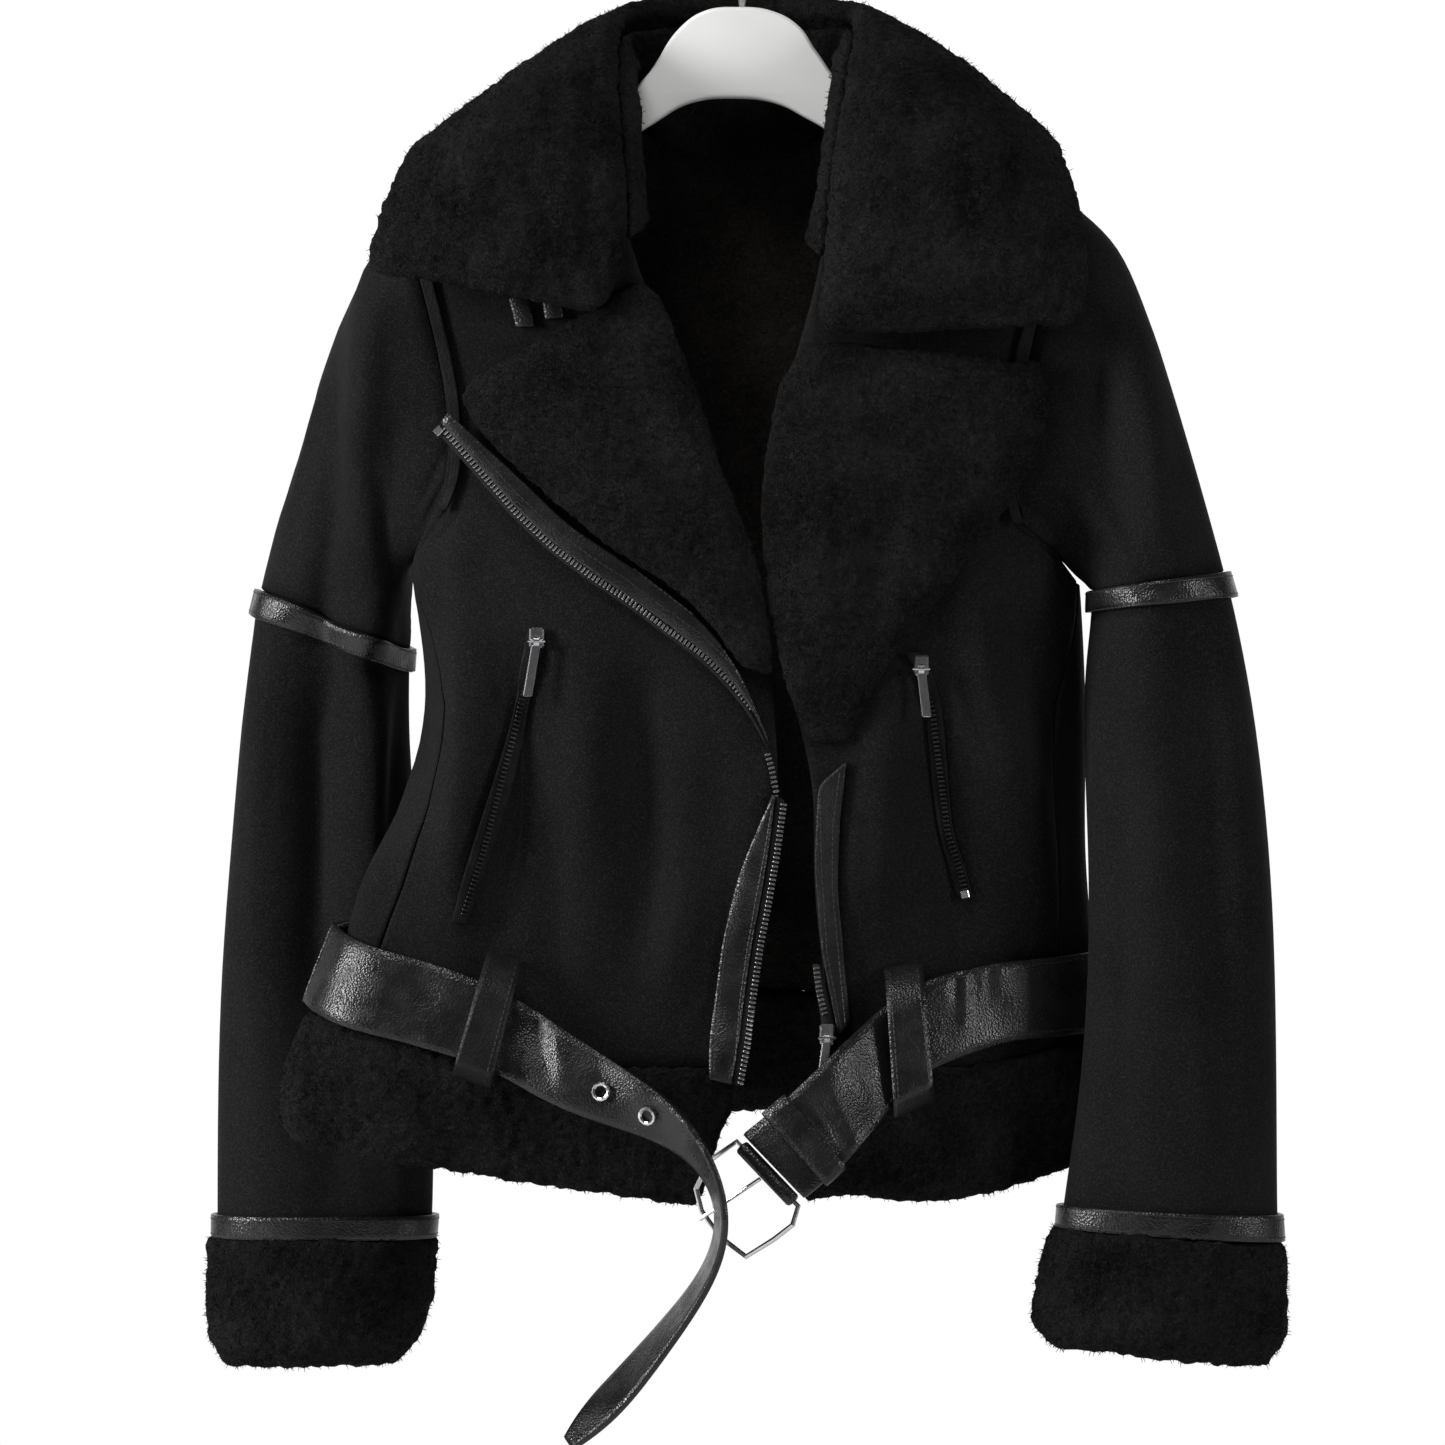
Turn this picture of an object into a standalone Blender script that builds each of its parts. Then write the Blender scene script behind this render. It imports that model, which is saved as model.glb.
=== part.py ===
"""Sheepskin flying jacket on a hanger, as solids. Sizes are in millimetres until the meshes are made.

The origin is where a rail touches the inside of the hanger's hook. +X is the wearer's left, the front faces -Y, +Z is up.
"""

import math

import bmesh
import bpy
import numpy as np

MM = 0.001  # one millimetre in scene units
SEAM = 0.4  # gap between two sewn pieces
REST = 0.5  # gap between a piece and what it lies on

# Skin, fur and leather thicknesses
SKIN = 5.0
FUR = 11.0
LEATHER = 3.0
STRAP = 3.5

# Shoulders: a straight slope on each side of the neck
NECK_HALF = 66.0
NECK_MID_X = -4.0
NECK_Z = -98.0
SHOULDER_HALF = 186.0
SHOULDER_Z = -166.0
SHOULDER_ROUND = 46.0  # how far below the ridge the cloth reaches its full depth
LOWER_ROWS = (0, 0.14, 0.28, 0.42, 0.56, 0.70, 0.84, 0.985)  # rows of the body from the hem to the armpits
UPPER_ROWS = (1.12, 1.30, 1.50, 1.70, 1.84, 1.94, 1.997)  # and on to the ridge
RING_POWER = 2.5  # a plain oval has 2, and a box with round corners has more

# Rings of the body from the hem up: height, right and left flank, depth of half the ring, middle of it at each flank
BODY_COLUMNS = ("z", "right_x", "left_x", "half_depth", "right_y", "left_y")
BODY = (
    (-716, -240, 198, 66, -34, 16),
    (-685, -247, 201, 66, -34, 16),
    (-650, -249, 202, 64, -34, 16),
    (-609, -232, 199, 58, -34, 16),
    (-565, -215, 193, 57, -30, 14),
    (-525, -200, 188, 59, -26, 10),
    (-466, -179, 184, 62, -18, 6),
    (-438, -169, 181, 63, -10, 3),
    (-394, -172, 178, 64, -4, 0),
    (-362, -178, 180, 64, 0, 0),
    (-320, -198, 198, 62, 0, 0),
    (-276, -214, 214, 60, 0, 0),
    (-221, -224, 224, 56, 0, 0),
    (-100, -232, 232, 48, 0, 0),
)
ARMPIT_RIGHT = (-172.0, -362.0)
ARMPIT_LEFT = (160.0, -372.0)

# Edges of the pieces as seen from the front: x, z
ARMHOLE_RIGHT = ((-190, -166), (-173, -221), (-160, -276), (-157, -320), (-166, -345), (-172, -364))
ARMHOLE_LEFT = ((182, -166), (164, -221), (151, -276), (145, -325), (152, -354), (160, -374))
FRONT_EDGE_RIGHT = (
    (-67.6, -98), (-67.6, -110), (-67.6, -150), (-66.5, -178), (-62, -206), (-42, -240), (-26, -278), (-13, -319), (1, -351), (9, -370),
    (14, -400), (18, -450), (21, -495), (17, -525), (13, -549), (8, -575), (3, -603), (0, -631), (-2, -648), (-26, -716),
)
FRONT_EDGE_LEFT = (
    (56.5, -98), (56, -110), (51, -150), (47, -178), (44, -200), (38, -230), (25, -256), (17, -288), (13, -319), (12, -356),
    (20, -413), (33, -463), (40, -485), (38, -531), (42, -578), (50, -620), (42, -650), (32, -716),
)
HEM_TOP_FRONT = (
    (-251, -609), (-232, -612), (-174, -628), (-152, -635), (-134, -639), (-112, -641), (108, -641), (130, -640),
    (150, -636), (199, -624), (210, -624),
)
HEM_TOP_BACK = ((-251, -609), (-232, -612), (-120, -604), (0, -600), (120, -608), (199, -624), (210, -624))
HEM_FRONT = (
    (-251, -672), (-238, -684), (-169, -693), (-127, -700), (-83, -706), (-28, -714), (32, -712), (60, -708),
    (102, -714), (138, -708), (177, -697), (205, -690),
)
HEM_BACK = ((-251, -672), (-190, -676), (-60, -668), (60, -667), (205, -690))
HEM_OUT = 4.0  # how far the turned-up fur stands in front of the skin
BACK_NECK_Z = -137.0

# Turned-out fronts: the roll line and the free edge, row by row from the top: x, z, x, z
LAPEL_COLUMNS = ("roll_x", "roll_z", "edge_x", "edge_z")
LAPEL_RIGHT = (
    (-55, -214, -146, -268), (-43, -226, -155, -279), (-33, -250, -136, -301), (-21, -285, -114, -321),
    (-11, -321, -92, -342), (3, -352, -66, -360), (10, -378, -40, -378), (14, -402, -18, -396), (17, -428, 0, -422),
)
LAPEL_LEFT = (
    (44, -247, 160, -258), (24, -258, 166, -272), (17, -288, 164, -294), (12, -319, 155, -318), (10, -350, 136, -346),
    (15, -390, 112, -378), (21, -420, 88, -408), (29, -445, 68, -438), (37, -464, 56, -462),
)

# Main zip, from the end stop at the tip of the right front to the hem: x, z
ZIP_UPPER = ((-167, -294), (-146, -317), (-126, -340), (-106, -359), (-85, -375), (-65, -388), (-45, -403),
             (-24, -418), (-8, -434), (5, -450), (15, -470))
STRIP_UPPER = ((-159, -284), (-136, -305), (-114, -325), (-94, -345), (-66, -363), (-39, -382), (-18, -400),
               (0, -426), (7, -442), (13, -458))
ZIP_LOWER = ((23, -495), (19, -525), (15, -549), (10, -575), (6, -603), (3, -628), (-1, -650))
STRIP_LOWER = ((16, -492), (6, -516), (-3, -538), (-11, -573), (-15, -605), (-18, -625), (-18, -646))
EDGE_LEFT_OUTER = ((56, -474), (52, -508), (51, -544), (55, -580), (59, -618))
EDGE_LEFT_INNER = ((41, -487), (40, -508), (39, -531), (43, -578), (52, -622))

TAPE_LEFT = ((38, -584), (40, -600), (43, -614), (43.5, -636))
TAPE_LEFT_OUTER = ((42.5, -584), (46, -600), (50, -614), (49.5, -636))

# Stations of the collar from the right front end round the back to the left front end: seam, roll, middle, edge
COLLAR = (
    ((-50, -42, -200), (-82, -74, -231), (-135, -78, -220), (-200, -70, -209)),
    ((-52, -42, -186), (-66, -76, -204), (-135, -80, -197), (-205, -70, -201)),
    ((-55, -38, -158), (-69, -68, -165), (-130, -78, -160), (-193, -62, -168)),
    ((-58, -24, -107), (-72, -58, -124), (-126, -66, -120), (-184, -44, -146)),
    ((-60, 0, -81), (-79, -16, -68), (-126, -16, -92), (-176, 0, -128)),
    ((-47, 38, -134), (-66, 34, -53), (-110, 48, -84), (-148, 64, -138)),
    ((-26, 40.8, -141), (-38, 52, -49), (-62, 80, -92), (-86, 88, -170)),
    ((-4, 41, -142), (-4, 56, -49), (-4, 86, -96), (-4, 90, -180)),
    ((20, 40.8, -141), (32, 52, -49), (56, 80, -92), (80, 88, -170)),
    ((40, 39, -136), (60, 34, -53), (102, 48, -80), (140, 64, -134)),
    ((53, 0, -77), (74, -16, -62), (120, -16, -84), (168, 0, -121)),
    ((50, -24, -103), (62, -58, -108), (114, -66, -110), (180, -44, -152)),
    ((43, -38, -158), (54, -68, -150), (114, -78, -152), (186, -62, -190)),
    ((37, -44, -188), (51, -76, -190), (114, -80, -194), (189, -72, -217)),
    ((32, -42, -206), (47, -75, -242), (112, -79, -240), (178, -75, -236)),
)

# Rings of the sleeves below the armhole: x and z of the outer end, x and z of the inner end, middle y, half depth
SLEEVE_RIGHT = (
    (-207, -202, -182, -366, 8, 49), (-219, -226, -185, -373, 16, 48), (-233, -262, -187, -383, 26, 46),
    (-247, -300, -189, -393, 36, 44), (-258, -340, -189, -402, 46, 42), (-267, -379, -190, -412, 54, 40),
    (-271, -393, -190, -425, 58, 39), (-279, -455, -187, -462, 62, 38), (-285, -520, -180, -520, 66, 37),
    (-291, -590, -174, -588, 68, 36), (-293, -660, -171, -656, 68, 36), (-293, -727, -172, -727, 66, 36),
    (-293, -740, -173, -740, 66, 36),
)
SLEEVE_LEFT = (
    (204, -186, 184, -371, -4, 49), (216, -210, 187, -374, -8, 48), (229, -248, 190, -376, -12, 46),
    (240, -284, 192, -378, -16, 45), (252, -326, 193, -379.5, -20, 43), (264, -371, 195, -381, -25, 41),
    (268, -385, 195, -393, -27, 40), (279, -441, 190, -442, -34, 39), (286, -502, 189, -505, -40, 38),
    (290, -565, 189, -570, -46, 37), (291, -645, 185, -645, -50, 36), (291, -720, 174, -715, -52, 36),
    (292, -735, 173, -727, -52, 36),
)
ELBOW_ROW = 5  # the elbow band lies between this ring and the next
WRIST_ROW = 11  # and the wrist strip between this one and the next
CUFF_RIGHT = ((-297, -740.4, -171, -740.4, 66, 41), (-298, -775, -173, -773, 66, 42), (-297, -797, -180, -795, 66, 41),
              (-288, -810, -192, -809, 66, 34))
CUFF_LEFT = ((295, -737.1, 169, -727.1, -52, 41), (296, -765, 160, -758, -52, 42), (295, -788, 158, -778, -52, 41),
             (284, -801, 170, -791, -52, 34))

# Soft folds of the body: top and bottom of each ridge (x, z, x, z), half width and height, valleys negative
FOLDS_FRONT = (
    (-150, -400, -142, -520, 20, 7), (-112, -440, -114, -560, 14, -6), (-80, -385, -78, -600, 15, 6),
    (-48, -400, -50, -570, 13, -6), (-30, -440, -34, -620, 13, 4), (74, -430, 82, -560, 16, 5),
    (102, -440, 118, -580, 13, -6), (128, -400, 150, -560, 17, 6), (172, -400, 176, -560, 12, -5),
    (-196, -600, -150, -560, 14, -4),
)
FOLDS_BACK = (
    (-140, -380, -150, -560, 20, 5), (-96, -420, -100, -590, 16, -5), (-50, -400, -44, -580, 18, 4),
    (2, -420, 4, -590, 16, -5), (48, -390, 52, -590, 18, 4), (98, -430, 100, -600, 16, -5),
    (140, -400, 150, -580, 18, 5), (-110, -240, -150, -330, 15, 4), (104, -240, 142, -330, 15, 4),
)
FOLDS_SLEEVE = (  # ring, position round the sleeve in turns (a quarter is the front), reach in rings, height
    (3.0, 0.19, 2.6, 5.0), (3.4, 0.31, 2.2, -5.0), (5.6, 0.14, 1.2, -4.0), (6.6, 0.30, 1.6, 4.5),
    (8.4, 0.22, 2.2, -4.0), (9.4, 0.13, 2.4, 3.5), (6.6, 0.66, 1.8, 4.0), (8.6, 0.76, 2.2, -4.0), (3.4, 0.74, 2.2, 4.0),
)

# Belt: top and bottom edge of each free station (x, z, x, z) and how far forward it hangs
STRAP_COLUMNS = ("top_x", "top_z", "low_x", "low_z", "top_y", "low_y")
STRAP_TAIL = (
    (-122, -601, -135, -640, -70, -75), (-93, -621, -112, -655, -84, -88), (-67, -637, -93, -664, -94, -92),
    (-44, -650, -67, -671, -106, -95), (-29, -662, -45, -675, -117, -97), (-17, -680, -27, -684, -126, -98),
    (-9, -698, -13, -700, -127, -95), (-5, -718, -9, -719, -122, -89), (-7, -738, -12, -737, -112, -82),
    (-16, -758, -22, -756, -104, -72), (-31, -781, -39, -776, -98, -66), (-49, -806, -60, -799, -94, -66),
    (-64, -826, -78, -817, -92, -68), (-76, -838, -90, -828, -90, -72), (-91, -846, -95, -841, -86, -78),
)
STRAP_BUCKLE = (
    (100, -592, 104, -640, -57, -62), (77, -606, 85, -653, -60, -66), (48, -632, 68, -676, -88, -94),
    (22, -658, 52, -694, -90, -99), (0.6, -675.5, 33.2, -709.4, -86.5, -100.5),
)
STRAP_STEPS = 32
LOOP_RIGHT = ((-138, -577), (-119, -582), (-136, -651), (-157, -644))  # corners from the top edge on
LOOP_LEFT = ((77, -586), (98, -583), (104, -658), (82, -668.5))
LOOP_BACK_ANGLES = (-148.0, 150.0)
LOOP_WIDE = 20.0
EYELETS = ((-81, -649), (-43, -661))
EYELET_RADIUS = 4.2
EYELET_WIRE = 1.1
BUCKLE_WIRE = 1.5
BUCKLE_BAR = ((-3, -86, -679), (30, -100, -713))
BUCKLE_BOW = (
    (27, -100, -723), (17, -96, -731), (2, -86, -741), (-12, -77, -731), (-22, -76, -717), (-25, -76, -705),
    (-18, -78, -690),
)
PRONG = ((9.5, -91.5, -698.8), (-7, -85, -710.3), (-23, -78, -721.5))
KEEPER_AT = (0.885, 0.945)  # share of the way along the strap

# Hanger, as seen from the front
HANGER_THICK = 10.0
HANGER_TOP = ((57, -105), (41, -84), (31, -70), (17, -62), (-2, -59.7), (-21, -62), (-35, -72), (-52, -97), (-69, -112))
HANGER_LOW = ((-68, -135), (-49, -124), (-30, -113), (-2, -109.8), (20, -113), (36, -121), (54, -131))
HANGER_REACH = 172.0
HANGER_END = 24.0
HOOK_INNER = 18.0
HOOK_WIRE = 2.0

# Small metal pieces
SLIDER = (8.0, 4.0, 11.0)
PULL = (5.0, 1.6)  # width and thickness of a pull tab
PULL_EYE = 2.6  # outside radius of the ring at its top
PIN = 0.8  # radius of the slider's bridge
PIN_PLAY = 0.5
POCKET_RIGHT = ((-111, -402), (-120, -444), (-129, -477), (-141, -525), (-152, -562))
POCKET_LEFT = ((91, -415), (98, -426), (103, -445), (107, -475), (112, -514), (118, -531), (122, -548))
POCKET_WIDE = 8.0
# Sliders: name, x and z of the bridge, lift of the slider, length of the pull, how far the pull leans sideways
SLIDERS = (
    ("zip", 46.0, -624.0, 3.5, 21.0, -3.0), ("pocket_right", -111.5, -409.0, 4.4, 30.0, -5.0),
    ("pocket_left", 97.0, -424.0, 4.9, 26.0, 3.0),
)
ARMHOLE_STRIP = 9.0  # width of the leather over each armhole seam
THROAT_TABS = (  # corners of the two small leather tabs under the collar
    ((-127, -222), (-116, -222), (-113, -238), (-123, -238)), ((-109, -222), (-99, -223), (-97, -233), (-107, -234)),
)

COLOURS = {  # colour, roughness, metallic
    "suede": ((0.012, 0.012, 0.013), 0.9, 0.0),
    "fur": ((0.016, 0.016, 0.017), 0.95, 0.0),
    "leather": ((0.010, 0.010, 0.011), 0.35, 0.0),
    "tape": ((0.012, 0.012, 0.012), 0.8, 0.0),
    "metal": ((0.75, 0.75, 0.77), 0.25, 1.0),
    "plastic": ((0.82, 0.82, 0.80), 0.35, 0.0),
}


def named(columns, rows):
    """A table's columns by name, as arrays."""
    return {name: np.array([row[i] for row in rows], float) for i, name in enumerate(columns)}


RINGS = named(BODY_COLUMNS, BODY)


def ring(name, z):
    """One measure of the body's ring at a height, eased between the table's rows."""
    heights, values = RINGS["z"], RINGS[name]
    near = [np.interp(np.asarray(z, float) + shift, heights, values) for shift in (-12, -6, 0, 6, 12)]
    return sum(near) / len(near)


def line(points, at):
    """Value of an edge given as pairs, read at any place along its first column."""
    pairs = sorted(points)
    return np.interp(at, [p[0] for p in pairs], [p[1] for p in pairs])


def line_by_z(points, z):
    return line([(p[1], p[0]) for p in points], z)


def shoulder_z(x):
    along = np.clip((np.abs(x - NECK_MID_X) - NECK_HALF) / (SHOULDER_HALF - NECK_HALF), 0, 1.4)
    return NECK_Z + (SHOULDER_Z - NECK_Z) * along


def armpit_z(x):
    return line((ARMPIT_RIGHT, ARMPIT_LEFT), x)


def folds(x, z, rows):
    """How far the folds push the cloth out at each point."""
    out = np.zeros(np.broadcast(x, z).shape)
    for x1, z1, x2, z2, half, height in rows:
        run = np.array([x2 - x1, z2 - z1], float)
        along = ((x - x1) * run[0] + (z - z1) * run[1]) / (run @ run)
        across = np.abs((x - x1) * run[1] - (z - z1) * run[0]) / math.hypot(*run)
        ends = np.clip(1.15 - np.abs(along - 0.5) * 1.5, 0, 1)
        out = out + height * np.exp(-((across / half) ** 2)) * ends * ends * (3 - 2 * ends)
    return out


def body_point(angle, level, low, high=(None, None)):
    """A point on the outside of the body.

    angle is 0 at the middle of the front, -90 and 90 at the flanks and beyond them on the back. level is 0 at the
    line low, 1 at the armpits or at the line high, and 2 at the ridge of the shoulder. low and high hold a line for
    the front and one for the back.
    """
    angle, level = np.broadcast_arrays(np.asarray(angle, float), np.asarray(level, float))
    angle = (angle + 180) % 360 - 180
    back = np.abs(angle) > 90
    turn = np.where(back, np.sign(angle) * (180 - np.abs(angle)), angle)
    sway = np.sin(np.radians(turn))
    share = np.sign(sway) * np.abs(sway) ** (2 / RING_POWER)
    z = np.where(level <= 1, -630 + 260 * level, -370 + 240 * (level - 1))
    for _ in range(5):
        right, left = ring("right_x", z), ring("left_x", z)
        x = (right + left) / 2 + (left - right) / 2 * share
        bottom = np.where(back, line(low[1], x), line(low[0], x))
        if high[0] is None:
            top = armpit_z(x)
        else:
            top = np.where(back, line(high[1], x), line(high[0], x))
        z = bottom + (top - bottom) * np.minimum(level, 1)
        z = np.where(level > 1, top + (shoulder_z(x) - top) * (level - 1), z)
    depth, middle = depth_at(share, x, z)
    fold = np.where(back, folds(x, z, FOLDS_BACK), folds(x, z, FOLDS_FRONT)) * np.clip(depth / 30, 0, 1)
    y = middle + (depth + fold) * np.where(back, 1, -1)
    return np.stack([x, y, z], axis=-1)


def depth_at(share, x, z):
    """Half the body's depth at a place, and the middle of it. share is -1 and 1 at the flanks."""
    depth = ring("half_depth", z) * np.maximum(1 - np.abs(share) ** RING_POWER, 0) ** (1 / RING_POWER)
    below = np.clip((shoulder_z(x) - z) / SHOULDER_ROUND, 0, 1)
    depth = depth * np.sqrt(np.maximum(1 - (1 - below) ** 2, 0))
    middle = np.where(share < 0, ring("right_y", z), ring("left_y", z)) * share ** 2
    return depth, middle


def body_square(angle, level, low, high=(None, None)):
    """The direction square to the body's outside at a point."""
    around = body_point(angle + 0.5, level, low, high) - body_point(angle - 0.5, level, low, high)
    lower, upper = np.maximum(level - 0.015, 0), np.minimum(level + 0.015, 1.998)
    up = body_point(angle, upper, low, high) - body_point(angle, lower, low, high)
    square = np.cross(around, up) * np.sign(up[..., 2:3])
    return square / np.maximum(np.linalg.norm(square, axis=-1, keepdims=True), 1e-9)


def turn_at(x, z):
    """The turn at which the body's ring at a height reaches x."""
    right, left = ring("right_x", z), ring("left_x", z)
    share = np.clip((x - (right + left) / 2) / ((left - right) / 2), -1, 1)
    return np.degrees(np.arcsin(np.sign(share) * np.abs(share) ** (RING_POWER / 2)))


def front_y(x, z):
    """The front of the body at a place seen from the front, where it is not turned away."""
    x, z = np.asarray(x, float), np.asarray(z, float)
    right, left = ring("right_x", z), ring("left_x", z)
    share = np.clip((x - (right + left) / 2) / ((left - right) / 2), -1, 1)
    depth, middle = depth_at(share, x, z)
    return middle - depth - folds(x, z, FOLDS_FRONT) * np.clip(depth / 30, 0, 1)


def normals(grid, wrap=False, outward=None):
    """A direction square to the grid at each point, turned to agree with outward."""
    across = np.gradient(grid, axis=1)
    if wrap:
        across = np.roll(grid, -1, axis=1) - np.roll(grid, 1, axis=1)
    square = np.cross(across, np.gradient(grid, axis=0))
    square = square / np.maximum(np.linalg.norm(square, axis=-1, keepdims=True), 1e-9)
    if outward is not None and (square * outward).sum() < 0:
        square = -square
    return square


def trimmed(grid, sides, by=SEAM / 2):
    """The grid with the named sides drawn in, so that it stays clear of what is sewn to it."""
    grid = grid.copy()
    for side in sides:
        edge, beside = {
            "first_row": (np.s_[0], np.s_[1]),
            "last_row": (np.s_[-1], np.s_[-2]),
            "first_column": (np.s_[:, 0], np.s_[:, 1]),
            "last_column": (np.s_[:, -1], np.s_[:, -2]),
        }[side]
        step = grid[beside] - grid[edge]
        long = np.maximum(np.linalg.norm(step, axis=-1, keepdims=True), 1e-6)
        grid[edge] = grid[edge] + step / long * by
    return grid


def material(name):
    found = bpy.data.materials.get(name)
    if found:
        return found
    made = bpy.data.materials.new(name)
    made.use_nodes = True
    colour, roughness, metallic = COLOURS[name]
    shader = made.node_tree.nodes["Principled BSDF"]
    shader.inputs["Base Color"].default_value = (*colour, 1)
    shader.inputs["Roughness"].default_value = roughness
    shader.inputs["Metallic"].default_value = metallic
    return made


def piece(name, mesh_or_curve, finish, location=(0, 0, 0)):
    """An object of its own for one cut piece, in the jacket's collection."""
    made = bpy.data.objects.new(name, mesh_or_curve)
    made.location = location
    collection.objects.link(made)
    mesh_or_curve.materials.append(material(finish))
    return made


def wall(name, outer, inner, finish, wrap=False, origin=(0, 0, 0)):
    """A closed wall between two grids of points, with its object's origin where it turns."""
    rows, columns = outer.shape[:2]
    shape = bmesh.new()
    grids = (outer - np.array(origin), inner - np.array(origin))
    points = [[[shape.verts.new(tuple(p * MM)) for p in row] for row in side] for side in grids]
    for side in points:
        for i in range(rows - 1):
            for j in range(columns if wrap else columns - 1):
                k = (j + 1) % columns
                shape.faces.new((side[i][j], side[i][k], side[i + 1][k], side[i + 1][j]))
    around = [(0, j) for j in range(columns)]
    if wrap:
        rims = [around, [(rows - 1, j) for j in range(columns)]]
    else:
        around += [(i, columns - 1) for i in range(1, rows)]
        around += [(rows - 1, j) for j in range(columns - 2, -1, -1)]
        around += [(i, 0) for i in range(rows - 2, 0, -1)]
        rims = [around]
    for rim in rims:
        for (i, j), (k, m) in zip(rim, rim[1:] + rim[:1]):
            shape.faces.new((points[0][i][j], points[0][k][m], points[1][k][m], points[1][i][j]))
    bmesh.ops.recalc_face_normals(shape, faces=shape.faces)
    mesh = bpy.data.meshes.new(name)
    shape.to_mesh(mesh)
    shape.free()
    mesh.shade_smooth()
    mesh.set_sharp_from_angle(angle=math.radians(60))
    return piece(name, mesh, finish, [place * MM for place in origin])


def body_panel(name, low, high, angles, levels, out, thick, finish, sides, trim=SEAM / 2):
    """A cut piece of the body. angles is a grid, a row of them for each level. Gives its outside and inside points."""
    level = np.asarray(levels, float)
    level = np.broadcast_to(level if level.ndim == 2 else level[:, None], angles.shape)
    grid = body_point(angles, level, low, high)
    square = body_square(angles, level, low, high)
    thick = np.broadcast_to(thick, grid.shape[:2])[..., None]
    out = np.broadcast_to(out, grid.shape[:2])[..., None]
    outer, inner = grid + square * out, grid + square * (out - thick)
    wall(name, trimmed(outer, sides, trim), trimmed(inner, sides, trim), finish)
    return outer, inner


def resample(points, count):
    """Even points along a line of any dimension."""
    points = np.array(points, float)
    steps = np.linalg.norm(np.diff(points, axis=0), axis=1)
    reach = np.concatenate([[0], np.cumsum(steps)])
    at = np.linspace(0, reach[-1], count)
    return np.stack([np.interp(at, reach, points[:, i]) for i in range(points.shape[1])], axis=-1)


def lying_strip(name, edge_a, edge_b, count, across, lift, thick, finish, crown=0.0, base=front_y):
    """A strip between two lines seen from the front, lying on the body."""
    a, b = resample(edge_a, count), resample(edge_b, count)
    share = np.linspace(0, 1, across)[None, :, None]
    flat = a[:, None] * (1 - share) + b[:, None] * share
    under_y = base(flat[..., 0], flat[..., 1]) - lift
    over = crown * np.sin(np.pi * share[..., 0]) ** 0.5
    under = np.stack([flat[..., 0], under_y, flat[..., 1]], axis=-1)
    top = under - np.stack([0 * under_y, thick + over + 0 * under_y, 0 * under_y], axis=-1)
    return wall(name, top, under, finish)


def row_z(level, x, low):
    z_low = line(low, x)
    to_armpit = z_low + (armpit_z(x) - z_low) * level
    return np.where(level <= 1, to_armpit, armpit_z(x) + (shoulder_z(x) - armpit_z(x)) * (level - 1))


def angle_on_line(level, points, low):
    """The angles at which rows of the body meet a line seen from the front, such as an edge or an armhole."""
    level = np.asarray(level, float)
    x = np.full(level.shape, float(points[-1][0]))
    for _ in range(14):
        x = 0.5 * x + 0.5 * line_by_z(points, row_z(level, x, low))
    return turn_at(x, row_z(level, x, low))


def seam_turn(level):
    """Where the side panel meets the front and the back: near the flank, closing in at the armpit."""
    return 60 + 24 * np.clip((np.asarray(level, float) - 0.70) / 0.26, 0, 1)


def build_body():
    """Front, back and side pieces. Gives the edges of each armhole, outside and inside, from ridge to ridge."""
    low = (HEM_TOP_FRONT, HEM_TOP_BACK)
    every = ("first_row", "last_row", "first_column", "last_column")
    levels = np.array(LOWER_ROWS + UPPER_ROWS)
    edges = {}
    for name, side, armhole, edge in (
        ("right", -1, ARMHOLE_RIGHT, FRONT_EDGE_RIGHT), ("left", 1, ARMHOLE_LEFT, FRONT_EDGE_LEFT),
    ):
        outside = np.where(levels > 1, angle_on_line(levels, armhole, low[0]), side * seam_turn(levels))
        inside = angle_on_line(levels, edge, low[0])
        share = np.linspace(0, 1, 12)
        angles = outside[:, None] * (1 - share) + inside[:, None] * share
        grids = body_panel(f"front_{name}", low, (None, None), angles, levels, 0, SKIN, "suede", every)
        edges[name] = [[grid[len(LOWER_ROWS):, 0] for grid in grids]]
    right = np.where(levels > 1, angle_on_line(levels, ARMHOLE_RIGHT, low[1]), -seam_turn(levels))
    left = np.where(levels > 1, angle_on_line(levels, ARMHOLE_LEFT, low[1]), seam_turn(levels))
    share = np.linspace(0, 1, 19)
    angles = (-180 - right)[:, None] * (1 - share) + (-180 - left)[:, None] * share
    across = body_point(angles, 1.5, low)[..., 0] - NECK_MID_X
    dip = (NECK_Z - BACK_NECK_Z) / (NECK_Z - ARMPIT_LEFT[1])
    dip = dip * np.sqrt(np.maximum(1 - np.abs(across / NECK_HALF) ** 3, 0))
    levels = levels[:, None] - np.maximum(levels[:, None] - 1, 0) * dip
    grids = body_panel("back", low, (None, None), angles, levels, 0, SKIN, "suede", every)
    edges["right"].append([grid[len(LOWER_ROWS):, 0] for grid in grids])
    edges["left"].append([grid[len(LOWER_ROWS):, -1] for grid in grids])
    levels = np.array(LOWER_ROWS)
    for name, side in (("right", -1), ("left", 1)):
        share = np.linspace(-1, 1, 7)
        angles = side * (90 + (90 - seam_turn(levels))[:, None] * share)
        body_panel(f"side_panel_{name}", low, (None, None), angles, levels, 0, SKIN, "suede", every, 0.9)
    return edges


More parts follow.
